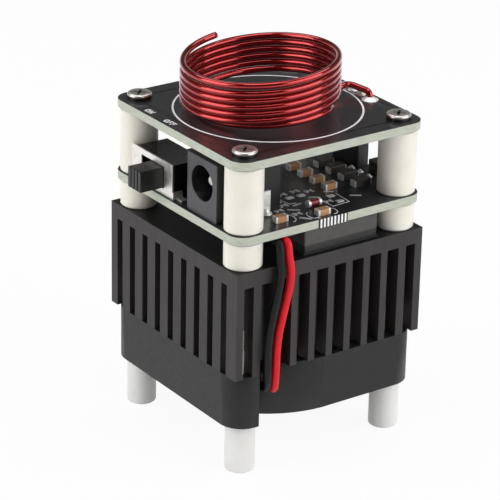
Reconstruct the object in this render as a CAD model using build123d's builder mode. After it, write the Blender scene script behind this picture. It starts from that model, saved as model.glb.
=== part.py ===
"""Desktop resonant transformer driver: a small fan-cooled stack of two circuit boards
that carries an open primary coil of enamelled wire.

Millimetres. +Z is up. The origin is the middle of the four feet, on the plane they stand
on. The switch and the power socket face -X, and the fan leads hang down the -Y side.
"""
from build123d import *
import math
import os

os.makedirs("parts", exist_ok=True)

# ---------------------------------------------------------------- stack, bottom to top
FOOT_HEIGHT = 9.5
FAN_HEIGHT = 10.0
SINK_HEIGHT = 20.0
LOWER_GAP = 5.0
UPPER_GAP = 12.0
BOARD_THICKNESS = 1.6

fan_bottom = FOOT_HEIGHT
sink_bottom = fan_bottom + FAN_HEIGHT
sink_top = sink_bottom + SINK_HEIGHT
control_bottom = sink_top + LOWER_GAP
control_top = control_bottom + BOARD_THICKNESS
top_bottom = control_top + UPPER_GAP
top_face = top_bottom + BOARD_THICKNESS

# ---------------------------------------------------------------- boards and their screws
SIDE = 40.0
BOARD_CORNER = 3.0
SCREW_PITCH = 32.75
SCREW_DIAMETER = 2.5
SCREW_HEAD_DIAMETER = 4.45
SCREW_HEAD_HEIGHT = 1.1
SCREW_HEAD_ROUND = 0.5
DRIVE_LENGTH = 2.5
DRIVE_WIDTH = 0.55
DRIVE_DEPTH = 0.6
HOLE_CLEARANCE = 0.15
SPACER_DIAMETER = 6.8
SPACER_CHAMFER = 0.25
THREAD_DEPTH = 2.7
THREAD_RELIEF = 0.1

# ---------------------------------------------------------------- heatsink
SINK_BASE = 2.85
FIN_GAP = 2.5
INNER_GAP_COUNT = 8
FIN_THICKNESS = 1.37
OUTER_FIN = 1.55
OUTER_GAP = 2.0
CROSS_SLOT_WIDTH = 1.7
CROSS_SLOT_PITCH = 4.16
CROSS_SLOT_COUNT = 9
CROSS_SLOT_SHIFT = 0.5

# ---------------------------------------------------------------- fan
FAN_PITCH = 32.0
FAN_CORNER = 4.5
FAN_BORE = 37.8
FAN_BARREL = 40.05
FAN_HOLE = 3.5
FAN_POST_RADIUS = 2.7
POCKET_START = -14.8
POCKET_DEPTH = 10.0
MOTOR_PLATE_RADIUS = 10.0
MOTOR_PLATE_THICKNESS = 1.6
MOTOR_PLATE_DROP = 0.3
STRUT_WIDTH = 1.6
STRUT_THICKNESS = 1.4
STRUT_OFFSET = 2.1
BEARING_TUBE_RADIUS = 3.2
BEARING_RADIUS = 2.2
SHAFT_RADIUS = 1.0
RUNNING_CLEARANCE = 0.03
BEARING_LENGTH = 5.4
BEARING_STANDOUT = 0.3
STATOR_RADIUS = 7.9
AIR_GAP = 0.45
MAGNET_WALL = 0.65
HUB_WALL = 0.8
HUB_RADIUS = STATOR_RADIUS + AIR_GAP + MAGNET_WALL + HUB_WALL
HUB_FLOOR = 1.2
HUB_BOSS_RADIUS = 2.0
HUB_BOSS_HEIGHT = 1.1
HUB_ROUND = 0.5
ROTOR_LIFT = 0.4
HUB_HEIGHT = 7.2
BLADE_COUNT = 7
BLADE_TIP_CLEARANCE = 0.7
BLADE_THICKNESS = 0.8
BLADE_HEIGHT = 7.0
BLADE_CHORD_ROOT = 5.6
BLADE_CHORD_TIP = 9.0
BLADE_BULGE = 0.9
BLADE_ROOT_SINK = 0.6
MAGNET_HEIGHT = 5.2
MAGNET_LIFT = 0.4
POLE_COUNT = 4
STATOR_CORE_RADIUS = 4.4
STATOR_HEIGHT = 3.0
STATOR_LIFT = 3.2
POLE_SHOE = 0.8
POLE_SHOE_LENGTH = 7.6
POLE_ARM_WIDTH = 1.6
WINDING_WALL = 1.0
WINDING_OVERHANG = 0.6
WINDING_END_GAP = 0.1
MOTOR_BOARD_CLEARANCE = 0.4
MOTOR_BOARD_RADIUS = STATOR_RADIUS + AIR_GAP + MAGNET_WALL - MOTOR_BOARD_CLEARANCE
MOTOR_BOARD_THICKNESS = 0.6
CLIP_RADIUS = 1.8
CLIP_THICKNESS = 0.3
CLIP_CLEARANCE = 0.05
SHAFT_STANDOUT = 0.8
LABEL_RADIUS = 7.0
LABEL_THICKNESS = 0.1

# ---------------------------------------------------------------- feet
FOOT_DIAMETER = 5.4
FOOT_ROUND = 0.5
FOOT_THREAD_DIAMETER = 2.5
FOOT_THREAD_DEPTH = 6.0
STUD_DIAMETER = 3.0
STUD_GRIP = 4.0

# ---------------------------------------------------------------- fan leads
LEAD_DIAMETER = 1.45
LEAD_SEAT = 0.025
LEAD_ANGLE = 53.13
LEAD_NOTCH_LOW = -1.0
LEAD_NOTCH_HIGH = 2.8
LEAD_NOTCH_DEPTH = 2.5
LEAD_NOTCH_INNER = 7.3
LEAD_NOTCH_OUTER = 21.0
LEAD_UNDER_BOARD = 0.025
LEAD_DIP = 0.15

# ---------------------------------------------------------------- power package
PACKAGE_WIDTH = 15.8
PACKAGE_LENGTH = 20.9
PACKAGE_CENTRE = 2.7
PACKAGE_FRONT = -18.9
PAD_THICKNESS = 0.3
PAD_MARGIN = 0.1
PACKAGE_TAB = 1.9
PACKAGE_TAB_WALL = 1.2
PACKAGE_TOP_GAP = 0.1
PACKAGE_ROUND = 0.3
LEG_PITCH = 5.45
LEG_WIDTH = 1.2
LEG_THICKNESS = 0.6
LEG_RISE = 0.4
LEG_REACH = 4.3
LEG_STANDOUT = 0.8
LEG_HOLE = 1.6

# ---------------------------------------------------------------- slide switch
SWITCH_FRONT = -19.5
SWITCH_START = 1.0
SWITCH_LENGTH = 13.0
SWITCH_HEIGHT = 6.4
SWITCH_DEPTH = 6.4
SWITCH_PLATE = 0.35
SWITCH_TOP_GAP = 0.1
SWITCH_SPACER_GAP = 0.1
HANDLE_WIDTH = 4.0
HANDLE_HEIGHT = 3.85
HANDLE_OUT = 4.8
HANDLE_START = 3.7
HANDLE_LIFT = 3.25
HANDLE_RIB_DEPTH = 0.25
HANDLE_RIB_COUNT = 4
SWITCH_TRAVEL = 3.0
SLOT_CLEARANCE = 0.1
SLIDER_BASE = 1.2
SLIDER_MARGIN = 1.0
SLIDER_BASE_HEIGHT = 4.9
CAVITY_DEPTH = 2.85
CONTACT_PITCH = 3.0
CONTACT_WIDTH = 1.4
CONTACT_THICKNESS = 0.4
CONTACT_TOP = 4.3
CONTACT_TAIL = 0.7
WIPER_THICKNESS = 0.3
WIPER_HEIGHT = 2.0
WIPER_BUMP_RADIUS = 0.6
WIPER_BUMP_ROUND = 0.35
WIPER_CLEARANCE = 0.1
LUG_HEIGHT = 1.4
LUG_REACH = 1.6
LUG_LENGTH = 1.4
LUG_THICKNESS = 0.3

# ---------------------------------------------------------------- power socket
JACK_FRONT = -19.4
JACK_CENTRE = -8.1
JACK_WIDTH = 9.0
JACK_HEIGHT = 10.8
JACK_FRONT_DEPTH = 3.5
JACK_LENGTH = 13.4
JACK_REAR_DROP = 0.8
JACK_REAR_CHAMFER = 1.0
JACK_AXIS_LIFT = 6.2
JACK_BORE = 6.4
JACK_BORE_DEPTH = 10.0
JACK_PIN_DIAMETER = 2.0
JACK_PIN_SET_BACK = 1.8
SPRING_THICKNESS = 0.3
SPRING_HEIGHT = 2.0
SPRING_OFFSET = 2.85
SPRING_SLOT_DEPTH = 0.9
SPRING_START = 1.0
SPRING_GRIP = 0.9
TERMINAL_THICKNESS = 0.4
REAR_TERMINAL_WIDTH = 3.0
REAR_TERMINAL_TOP = 7.7
SIDE_TERMINAL_WIDTH = 1.6
SIDE_TERMINAL_TOP = 4.2
SIDE_TERMINAL_START = 10.2
TERMINAL_LEG = 1.2
TERMINAL_TAIL = 0.8
TERMINAL_HOLE = 1.7

# ---------------------------------------------------------------- board to board header
HEADER_PITCH = 2.54
HEADER_PINS = 3
HEADER_WIDTH = 2.3
HEADER_CENTRE = (18.2, -0.6)
SOCKET_HEIGHT = 8.5
PLUG_HEIGHT = 2.5
PIN_SIDE = 0.64
PIN_CLEARANCE = 0.05
PIN_DEPTH = 5.5
SOCKET_WELL = 6.5
PIN_HOLE = 1.0
PIN_STANDOUT = 0.8
TAIL_SIDE = 0.5

# ---------------------------------------------------------------- small parts on the board
CHIP_LENGTH = 2.6
CHIP_WIDTH = 1.4
CHIP_HEIGHT = 1.15
CHIP_CAP = 0.4
CHIP_ROW_X = 6.95
CHIP_ROW_START = -9.4
CHIP_ROW_PITCH = 3.63
CHIP_ROW_COUNT = 4
FRONT_CHIPS = [(-9.15, -17.0), (-1.1, -18.3)]
GLASS_CENTRE = (-0.2, -14.5)
GLASS_LENGTH = 2.8
GLASS_RADIUS = 0.6
GLASS_CAP = 0.5
GLASS_CAP_RADIUS = 0.66
RECTIFIER_X = 12.8
RECTIFIER_START = -10.9
RECTIFIER_PITCH = 3.73
RECTIFIER_COUNT = 4
RECTIFIER_LENGTH = 3.0
RECTIFIER_WIDTH = 2.0
RECTIFIER_HEIGHT = 1.4
RECTIFIER_CHAMFER = 0.15
RECTIFIER_LEAD = 0.35
RECTIFIER_LEAD_WIDTH = 1.4
RECTIFIER_LEAD_TOP = 1.1
BEAD_CENTRE = (18.35, -8.4)
BEAD_SIZE = (2.2, 2.6, 2.6)
BEAD_ROUND = 0.3
EDGE_CONTACTS = 8
EDGE_CONTACT_PITCH = 0.74
EDGE_CONTACT_WIDTH = 0.36
EDGE_CONTACT_THICKNESS = 0.12

# ---------------------------------------------------------------- coil and secondary socket
COIL_WIRE = 0.8
COIL_PITCH = 1.25
COIL_RADIUS = 13.66
COIL_CENTRE = (-1.0, 1.1)
COIL_TOP = 9.5
COIL_TOP_ANGLE = 94.2
COIL_SWEEP = 2365.8
COIL_ARCS = 26
COIL_TILT = 1.25
COIL_TILT_ANGLE = -25.0
COIL_TIP_LIFT = 0.8
COIL_TIP_SPRING = 490.0
COIL_TIP_STRAIGHT = 0.9
COIL_TUCK = 1.8
COIL_TUCK_RISE = 0.3
COIL_TUCK_SWEEP = 272.0
LEAD_HOLE_AT = (17.8, -6.3)
LEAD_HOLE_CLEARANCE = 0.1
COIL_EXIT_RUN = 6.5
COIL_EXIT_BEND = 8.0
HAIRPIN_AT = (16.85, 0.35)
HAIRPIN_HEIGHT = 1.45
HAIRPIN_BEND = 0.95
DROP_HEIGHT = 1.6
DROP_BEND = 1.1
COIL_TAIL = 0.4
SOLDER_RADIUS = 1.45
SOLDER_TOP_RADIUS = 0.6
SOLDER_HEIGHT = 0.6
PIN_FLANGE_RADIUS = 1.3
PIN_FLANGE = 0.4
PIN_BARREL_RADIUS = 0.95
PIN_BARREL_HEIGHT = 1.6
PIN_BORE_RADIUS = 0.5
PIN_TAIL_RADIUS = 0.45
PIN_TAIL = 0.8


def save(piece, name):
    """Label a finished piece and write it under its own name."""
    piece.part.label = name
    export_step(piece.part, f"parts/{name}.step")


def corners(pitch):
    """The four corners of a square pattern, counted from the front left."""
    half = pitch / 2
    return [(-half, -half), (half, -half), (half, half), (-half, half)]


def block(x_span, y_span, z_span, mode=Mode.ADD):
    """A plain block between two X, two Y and two Z values."""
    spans = (x_span, y_span, z_span)
    middle = [(low + high) / 2 for low, high in spans]
    with Locations(tuple(middle)):
        Box(*[high - low for low, high in spans], mode=mode)


# ---------------------------------------------------------------- shared places
screw_hole = SCREW_DIAMETER / 2 + HOLE_CLEARANCE
switch_back = SWITCH_FRONT + SWITCH_PLATE
switch_end = SWITCH_START + SWITCH_LENGTH
switch_body_end = SCREW_PITCH / 2 - SPACER_DIAMETER / 2 - SWITCH_SPACER_GAP
cavity_back = switch_back + CAVITY_DEPTH
handle_end = HANDLE_START + HANDLE_WIDTH
handle_low = control_top + HANDLE_LIFT - HANDLE_HEIGHT / 2
handle_high = handle_low + HANDLE_HEIGHT
contact_first = HANDLE_START + HANDLE_WIDTH / 2 - CONTACT_PITCH / 2
contact_places = [contact_first + CONTACT_PITCH * i for i in range(3)]
contact_middle = cavity_back + CONTACT_THICKNESS / 2
jack_back = JACK_FRONT + JACK_LENGTH
jack_bore_end = JACK_FRONT + JACK_BORE_DEPTH
jack_axis = control_top + JACK_AXIS_LIFT
jack_side = JACK_CENTRE - JACK_WIDTH / 2
side_terminal = (JACK_FRONT + SIDE_TERMINAL_START, jack_side - TERMINAL_THICKNESS / 2)
rear_terminal = (jack_back + TERMINAL_THICKNESS / 2, JACK_CENTRE)
header_length = HEADER_PITCH * HEADER_PINS
header_places = [
    (HEADER_CENTRE[0], HEADER_CENTRE[1] + HEADER_PITCH * (i - (HEADER_PINS - 1) / 2))
    for i in range(HEADER_PINS)
]
leg_end = PACKAGE_FRONT + PACKAGE_LENGTH + LEG_REACH
leg_places = [(PACKAGE_CENTRE + LEG_PITCH * i, leg_end - LEG_THICKNESS / 2) for i in (-1, 0, 1)]
chip_places = FRONT_CHIPS + [
    (CHIP_ROW_X, CHIP_ROW_START + CHIP_ROW_PITCH * i) for i in range(CHIP_ROW_COUNT)
]
rectifier_places = [
    (RECTIFIER_X, RECTIFIER_START + RECTIFIER_PITCH * i) for i in range(RECTIFIER_COUNT)
]

# ---------------------------------------------------------------- top board
with BuildPart() as top_board:
    with BuildSketch(Plane.XY.offset(top_bottom)):
        RectangleRounded(SIDE, SIDE, BOARD_CORNER)
        with Locations(*corners(SCREW_PITCH)):
            Circle(screw_hole, mode=Mode.SUBTRACT)
        with Locations(LEAD_HOLE_AT):
            Circle(COIL_WIRE / 2 + LEAD_HOLE_CLEARANCE, mode=Mode.SUBTRACT)
        with Locations(*header_places):
            Circle(PIN_HOLE / 2, mode=Mode.SUBTRACT)
        Circle(PIN_TAIL_RADIUS + LEAD_HOLE_CLEARANCE, mode=Mode.SUBTRACT)
    extrude(amount=BOARD_THICKNESS)
save(top_board, "top_board")

# ---------------------------------------------------------------- control board
with BuildPart() as control_board:
    with BuildSketch(Plane.XY.offset(control_bottom)):
        RectangleRounded(SIDE, SIDE, BOARD_CORNER)
        with Locations(*corners(SCREW_PITCH)):
            Circle(screw_hole, mode=Mode.SUBTRACT)
        with Locations(*header_places):
            Circle(PIN_HOLE / 2, mode=Mode.SUBTRACT)
        with Locations(*leg_places):
            Circle(LEG_HOLE / 2, mode=Mode.SUBTRACT)
        with Locations(side_terminal, rear_terminal):
            Circle(TERMINAL_HOLE / 2, mode=Mode.SUBTRACT)
        with Locations(*[(contact_middle, y) for y in contact_places]):
            Rectangle(
                CONTACT_THICKNESS + 2 * HOLE_CLEARANCE,
                CONTACT_WIDTH + 2 * HOLE_CLEARANCE,
                mode=Mode.SUBTRACT,
            )
    extrude(amount=BOARD_THICKNESS)
save(control_board, "control_board")

# ---------------------------------------------------------------- board screws and spacers
screw_tip = sink_top - THREAD_DEPTH
for number, (x, y) in enumerate(corners(SCREW_PITCH), start=1):
    with BuildPart() as board_screw:
        with BuildSketch(Plane.XY.offset(top_face)):
            with Locations((x, y)):
                Circle(SCREW_HEAD_DIAMETER / 2)
        extrude(amount=SCREW_HEAD_HEIGHT)
        fillet(board_screw.edges().group_by(Axis.Z)[-1], SCREW_HEAD_ROUND)
        with BuildSketch(Plane.XY.offset(screw_tip)):
            with Locations((x, y)):
                Circle(SCREW_DIAMETER / 2)
        extrude(amount=top_face - screw_tip)
        with BuildSketch(Plane.XY.offset(top_face + SCREW_HEAD_HEIGHT - DRIVE_DEPTH)):
            with Locations((x, y)):
                Rectangle(DRIVE_LENGTH, DRIVE_WIDTH, rotation=45)
                Rectangle(DRIVE_WIDTH, DRIVE_LENGTH, rotation=45)
        extrude(amount=DRIVE_DEPTH, mode=Mode.SUBTRACT)
    save(board_screw, f"board_screw_{number}")

    for level, height, place in (
        (sink_top, LOWER_GAP, "lower"),
        (control_top, UPPER_GAP, "upper"),
    ):
        with BuildPart() as spacer:
            with BuildSketch(Plane.XY.offset(level)):
                with Locations((x, y)):
                    Circle(SPACER_DIAMETER / 2)
                    Circle(screw_hole, mode=Mode.SUBTRACT)
            extrude(amount=height)
            rims = spacer.edges().filter_by(GeomType.CIRCLE).sort_by(SortBy.RADIUS)[-2:]
            chamfer(rims, SPACER_CHAMFER)
        save(spacer, f"{place}_spacer_{number}")

# ---------------------------------------------------------------- heatsink
fin_pitch = FIN_GAP + FIN_THICKNESS
outer_gap_middle = SIDE / 2 - OUTER_FIN - OUTER_GAP / 2
slot_top = sink_top - SINK_BASE
with BuildPart() as heatsink:
    with BuildSketch(Plane.XY.offset(sink_bottom)):
        Rectangle(SIDE, SIDE)
    extrude(amount=SINK_HEIGHT)
    with BuildSketch(Plane.XY.offset(sink_bottom)):
        with GridLocations(fin_pitch, 0, INNER_GAP_COUNT, 1):
            Rectangle(FIN_GAP, SIDE)
        with Locations((-outer_gap_middle, 0), (outer_gap_middle, 0)):
            Rectangle(OUTER_GAP, SIDE)
        with Locations((0, CROSS_SLOT_SHIFT)):
            with GridLocations(0, CROSS_SLOT_PITCH, 1, CROSS_SLOT_COUNT):
                Rectangle(SIDE, CROSS_SLOT_WIDTH)
    extrude(amount=slot_top - sink_bottom, mode=Mode.SUBTRACT)
    with BuildSketch(Plane.XY.offset(sink_top)):
        with Locations(*corners(SCREW_PITCH)):
            Circle(SCREW_DIAMETER / 2)
    extrude(amount=-THREAD_DEPTH - THREAD_RELIEF, mode=Mode.SUBTRACT)
    with BuildSketch(Plane.XY.offset(sink_bottom)):
        with Locations(*corners(FAN_PITCH)):
            Circle(STUD_DIAMETER / 2)
    extrude(amount=STUD_GRIP, mode=Mode.SUBTRACT)
save(heatsink, "heatsink")

# ---------------------------------------------------------------- fan frame
plate_top = sink_bottom - MOTOR_PLATE_DROP
plate_bottom = plate_top - MOTOR_PLATE_THICKNESS
bearing_top = plate_bottom + BEARING_STANDOUT
bearing_bottom = bearing_top - BEARING_LENGTH
# The leads cross the barrel side by side, on lines that point at the hub.
toward_hub = Vector(math.cos(math.radians(LEAD_ANGLE)), math.sin(math.radians(LEAD_ANGLE)), 0)
beside_leads = Vector(toward_hub.Y, -toward_hub.X, 0)
notch_middle = (LEAD_NOTCH_LOW + LEAD_NOTCH_HIGH) / 2
notch_width = LEAD_NOTCH_HIGH - LEAD_NOTCH_LOW
notch_length = LEAD_NOTCH_OUTER - LEAD_NOTCH_INNER
notch_centre = beside_leads * notch_middle - toward_hub * (LEAD_NOTCH_INNER + notch_length / 2)
strut_length = (FAN_BORE + FAN_BARREL) / 4 - BEARING_RADIUS
strut_middle = BEARING_RADIUS + strut_length / 2
with BuildPart() as fan_frame:
    with BuildSketch(Plane.XY.offset(fan_bottom)):
        RectangleRounded(SIDE, SIDE, FAN_CORNER)
        with BuildSketch(mode=Mode.SUBTRACT):
            with Locations((POCKET_START / 2, (POCKET_DEPTH - SIDE) / 2)):
                Rectangle(-POCKET_START, POCKET_DEPTH)
            Circle(FAN_BARREL / 2, mode=Mode.SUBTRACT)
            with Locations(corners(FAN_PITCH)[0]):
                Circle(FAN_POST_RADIUS, mode=Mode.SUBTRACT)
        Circle(FAN_BORE / 2, mode=Mode.SUBTRACT)
        with Locations(*corners(FAN_PITCH)):
            Circle(FAN_HOLE / 2, mode=Mode.SUBTRACT)
    extrude(amount=FAN_HEIGHT)
    with BuildSketch(Plane.XY.offset(plate_bottom)):
        Circle(MOTOR_PLATE_RADIUS)
    extrude(amount=MOTOR_PLATE_THICKNESS)
    with BuildSketch(Plane.XY.offset(plate_top - STRUT_THICKNESS)):
        with PolarLocations(0, 3, start_angle=LEAD_ANGLE):
            with Locations((-strut_middle, STRUT_OFFSET)):
                Rectangle(strut_length, STRUT_WIDTH)
    extrude(amount=STRUT_THICKNESS)
    with BuildSketch(Plane.XY.offset(bearing_bottom)):
        Circle(BEARING_TUBE_RADIUS)
    extrude(amount=plate_bottom - bearing_bottom)
    with BuildSketch(Plane.XY.offset(bearing_bottom)):
        Circle(BEARING_RADIUS)
    extrude(amount=plate_top - bearing_bottom, mode=Mode.SUBTRACT)
    with BuildSketch(Plane.XY.offset(sink_bottom - LEAD_NOTCH_DEPTH)):
        with Locations(notch_centre):
            Rectangle(notch_length, notch_width, rotation=LEAD_ANGLE)
    extrude(amount=LEAD_NOTCH_DEPTH, mode=Mode.SUBTRACT)
save(fan_frame, "fan_frame")

# ---------------------------------------------------------------- fan motor, fixed part
with BuildPart() as fan_bearing:
    with BuildSketch(Plane.XY.offset(bearing_bottom)):
        Circle(BEARING_RADIUS)
        Circle(SHAFT_RADIUS + RUNNING_CLEARANCE, mode=Mode.SUBTRACT)
    extrude(amount=BEARING_LENGTH)
save(fan_bearing, "fan_bearing")

stator_bottom = fan_bottom + ROTOR_LIFT + STATOR_LIFT
arm_start = STATOR_CORE_RADIUS
arm_end = STATOR_RADIUS - POLE_SHOE
with BuildPart() as fan_stator:
    with BuildSketch(Plane.XY.offset(stator_bottom)):
        Circle(STATOR_CORE_RADIUS)
        with PolarLocations(0, POLE_COUNT):
            with Locations((STATOR_RADIUS / 2, 0)):
                Rectangle(STATOR_RADIUS, POLE_ARM_WIDTH)
            with BuildSketch(mode=Mode.PRIVATE) as shoe:
                Circle(STATOR_RADIUS)
                Circle(arm_end, mode=Mode.SUBTRACT)
                with Locations((STATOR_RADIUS, 0)):
                    Rectangle(STATOR_RADIUS, POLE_SHOE_LENGTH, mode=Mode.INTERSECT)
            add(shoe.sketch)
        Circle(STATOR_RADIUS, mode=Mode.INTERSECT)
        Circle(BEARING_TUBE_RADIUS, mode=Mode.SUBTRACT)
    extrude(amount=STATOR_HEIGHT)
save(fan_stator, "fan_stator")

winding_span = POLE_ARM_WIDTH + 2 * WINDING_WALL
winding_start = arm_start + WINDING_END_GAP
winding_end = math.sqrt(arm_end**2 - (winding_span / 2) ** 2) - WINDING_END_GAP
winding_length = winding_end - winding_start
winding_middle = (winding_start + winding_end) / 2
with BuildPart() as fan_windings:
    with BuildSketch(Plane.XY.offset(stator_bottom - WINDING_OVERHANG)):
        with PolarLocations(winding_middle, POLE_COUNT):
            Rectangle(winding_length, winding_span)
    extrude(amount=STATOR_HEIGHT + 2 * WINDING_OVERHANG)
    with BuildSketch(Plane.XY.offset(stator_bottom)):
        with PolarLocations(winding_middle, POLE_COUNT):
            Rectangle(winding_length, POLE_ARM_WIDTH)
    extrude(amount=STATOR_HEIGHT, mode=Mode.SUBTRACT)
save(fan_windings, "fan_windings")

with BuildPart() as fan_motor_board:
    with BuildSketch(Plane.XY.offset(plate_bottom - MOTOR_BOARD_THICKNESS)):
        Circle(MOTOR_BOARD_RADIUS)
        Circle(BEARING_TUBE_RADIUS, mode=Mode.SUBTRACT)
    extrude(amount=MOTOR_BOARD_THICKNESS)
save(fan_motor_board, "fan_motor_board")

with BuildPart() as fan_label:
    with BuildSketch(Plane.XY.offset(plate_top)):
        Circle(LABEL_RADIUS)
    extrude(amount=LABEL_THICKNESS)
save(fan_label, "fan_label")

# ---------------------------------------------------------------- fan rotor
rotor_bottom = fan_bottom + ROTOR_LIFT
hub_floor_top = rotor_bottom + HUB_FLOOR
blade_tip = FAN_BORE / 2 - BLADE_TIP_CLEARANCE
blade_bottom = rotor_bottom + (HUB_HEIGHT - BLADE_HEIGHT) / 2
with BuildPart() as fan_rotor:
    with BuildSketch(Plane.XY.offset(rotor_bottom)):
        Circle(HUB_RADIUS)
    extrude(amount=HUB_HEIGHT)
    fillet(fan_rotor.edges().group_by(Axis.Z)[0], HUB_ROUND)
    with BuildSketch(Plane.XY.offset(hub_floor_top)):
        Circle(HUB_RADIUS - HUB_WALL)
    extrude(amount=HUB_HEIGHT, mode=Mode.SUBTRACT)
    with BuildSketch(Plane.XY.offset(hub_floor_top)):
        Circle(HUB_BOSS_RADIUS)
    extrude(amount=HUB_BOSS_HEIGHT)
    with BuildSketch(Plane.XY.offset(hub_floor_top)):
        Circle(SHAFT_RADIUS)
    extrude(amount=HUB_BOSS_HEIGHT, mode=Mode.SUBTRACT)
    with BuildPart(mode=Mode.PRIVATE) as blade:
        for distance, chord in (
            (HUB_RADIUS - BLADE_ROOT_SINK, BLADE_CHORD_ROOT),
            (blade_tip + BLADE_ROOT_SINK, BLADE_CHORD_TIP),
        ):
            low = (-chord / 2, blade_bottom)
            high = (chord / 2, blade_bottom + BLADE_HEIGHT)
            bulge = (-BLADE_BULGE, blade_bottom + BLADE_HEIGHT / 2 + BLADE_BULGE)
            back = (bulge[0] + BLADE_THICKNESS, bulge[1] - BLADE_THICKNESS)
            with BuildSketch(Plane.YZ.offset(distance)):
                with BuildLine():
                    ThreePointArc(low, bulge, high)
                    Line(high, (high[0] + BLADE_THICKNESS, high[1]))
                    ThreePointArc(
                        (high[0] + BLADE_THICKNESS, high[1]),
                        back,
                        (low[0] + BLADE_THICKNESS, low[1]),
                    )
                    Line((low[0] + BLADE_THICKNESS, low[1]), low)
                make_face()
        loft()
        with BuildSketch(Plane.XY.offset(rotor_bottom)):
            Circle(blade_tip)
            Circle(HUB_RADIUS - HUB_WALL / 2, mode=Mode.SUBTRACT)
        extrude(amount=HUB_HEIGHT, mode=Mode.INTERSECT)
    with PolarLocations(0, BLADE_COUNT):
        add(blade.part)
save(fan_rotor, "fan_rotor")

magnet_radius = HUB_RADIUS - HUB_WALL
with BuildPart() as fan_magnet:
    with BuildSketch(Plane.XY.offset(hub_floor_top + MAGNET_LIFT)):
        Circle(magnet_radius)
        Circle(magnet_radius - MAGNET_WALL, mode=Mode.SUBTRACT)
    extrude(amount=MAGNET_HEIGHT)
save(fan_magnet, "fan_magnet")

clip_bottom = bearing_top + CLIP_CLEARANCE
shaft_top = bearing_top + SHAFT_STANDOUT
with BuildPart() as fan_shaft:
    with BuildSketch(Plane.XY.offset(hub_floor_top)):
        Circle(SHAFT_RADIUS)
    extrude(amount=shaft_top - hub_floor_top)
save(fan_shaft, "fan_shaft")

with BuildPart() as fan_clip:
    with BuildSketch(Plane.XY.offset(clip_bottom)):
        Circle(CLIP_RADIUS)
        Circle(SHAFT_RADIUS, mode=Mode.SUBTRACT)
    extrude(amount=CLIP_THICKNESS)
save(fan_clip, "fan_clip")

# ---------------------------------------------------------------- fan leads
# Each lead lies under the control board, hangs down the fins, doubles back in the pocket
# of the fan frame and ends on the motor's own board.
lead_radius = LEAD_DIAMETER / 2
under_board = control_bottom - lead_radius - LEAD_UNDER_BOARD
over_motor = plate_bottom + lead_radius + LEAD_SEAT


def run_end(rise_at, reach):
    """Where a lead ends that leaves its riser towards the hub."""
    offset = beside_leads.dot(Vector(*rise_at, 0))
    return beside_leads * offset - toward_hub * reach + Vector(0, 0, over_motor)


LEAD_ROUTES = {
    "red": (
        [
            (-9.75, -14.5, under_board),
            (-9.75, -21.6, under_board - LEAD_DIP),
            (-9.5, -21.4, 37.4),
            (-10.75, -21.05, 31.4),
            (-11.95, -20.9, 26.1),
            (-12.1, -20.85, 19.1),
            (-11.4, -19.7, 15.5),
            (-10.95, -17.6, 15.5),
            (-10.95, -17.6, over_motor),
        ],
        [2.0, 6.0, 12.0, 12.0, 5.0, 0.95, 0.95, 1.2],
        7.7,
    ),
    "black": (
        [
            (-11.5, -14.5, under_board),
            (-11.5, -21.5, under_board - LEAD_DIP),
            (-11.7, -21.3, 37.5),
            (-12.95, -20.95, 31.1),
            (-13.95, -20.85, 25.3),
            (-13.75, -20.85, 19.3),
            (-12.9, -19.5, 15.9),
            (-12.5, -16.65, 15.9),
            (-12.5, -16.65, over_motor),
        ],
        [2.0, 6.0, 12.0, 12.0, 5.0, 1.2, 1.2, 1.2],
        7.9,
    ),
}

for colour, (points, bends, reach) in LEAD_ROUTES.items():
    points = points + [run_end(points[-1][:2], reach)]
    with BuildPart() as fan_lead:
        with BuildLine() as route:
            FilletPolyline(*points, radius=bends)
        with BuildSketch(Plane(route.line @ 0, z_dir=route.line % 0)):
            Circle(lead_radius)
        sweep()
    save(fan_lead, f"fan_lead_{colour}")
    length = route.wires()[0].length
    expected = math.pi * lead_radius**2 * length
    print(f"fan lead {colour}: length {length:.1f}, bends {bends}")
    print(f"  volume {fan_lead.part.volume:.2f} against {expected:.2f}")

# ---------------------------------------------------------------- feet
# Each foot is a stand-off whose stud runs up through the fan into the heatsink.
stud_top = sink_bottom + STUD_GRIP
for number, (x, y) in enumerate(corners(FAN_PITCH), start=1):
    with BuildPart() as foot:
        with BuildSketch():
            with Locations((x, y)):
                Circle(FOOT_DIAMETER / 2)
        extrude(amount=FOOT_HEIGHT)
        fillet(foot.edges().group_by(Axis.Z)[0], FOOT_ROUND)
        with BuildSketch():
            with Locations((x, y)):
                Circle(FOOT_THREAD_DIAMETER / 2)
        extrude(amount=FOOT_THREAD_DEPTH, mode=Mode.SUBTRACT)
        with BuildSketch(Plane.XY.offset(FOOT_HEIGHT)):
            with Locations((x, y)):
                Circle(STUD_DIAMETER / 2)
        extrude(amount=stud_top - FOOT_HEIGHT)
    save(foot, f"foot_{number}")

# ---------------------------------------------------------------- power package
package_x = (PACKAGE_CENTRE - PACKAGE_WIDTH / 2, PACKAGE_CENTRE + PACKAGE_WIDTH / 2)
package_y = (PACKAGE_FRONT, PACKAGE_FRONT + PACKAGE_LENGTH)
pad_top = sink_top + PAD_THICKNESS
tab_top = pad_top + PACKAGE_TAB
mould_top = control_bottom - PACKAGE_TOP_GAP
with BuildPart() as thermal_pad:
    block(
        (package_x[0] - PAD_MARGIN, package_x[1] + PAD_MARGIN),
        (package_y[0] - PAD_MARGIN, package_y[1] + PAD_MARGIN),
        (sink_top, pad_top),
    )
save(thermal_pad, "thermal_pad")

tab_x = (package_x[0] + PACKAGE_TAB_WALL, package_x[1] - PACKAGE_TAB_WALL)
tab_y = (package_y[0] + PACKAGE_TAB_WALL, package_y[1] - PACKAGE_TAB_WALL)
with BuildPart() as power_tab:
    block(tab_x, tab_y, (pad_top, tab_top))
save(power_tab, "power_tab")

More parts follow.
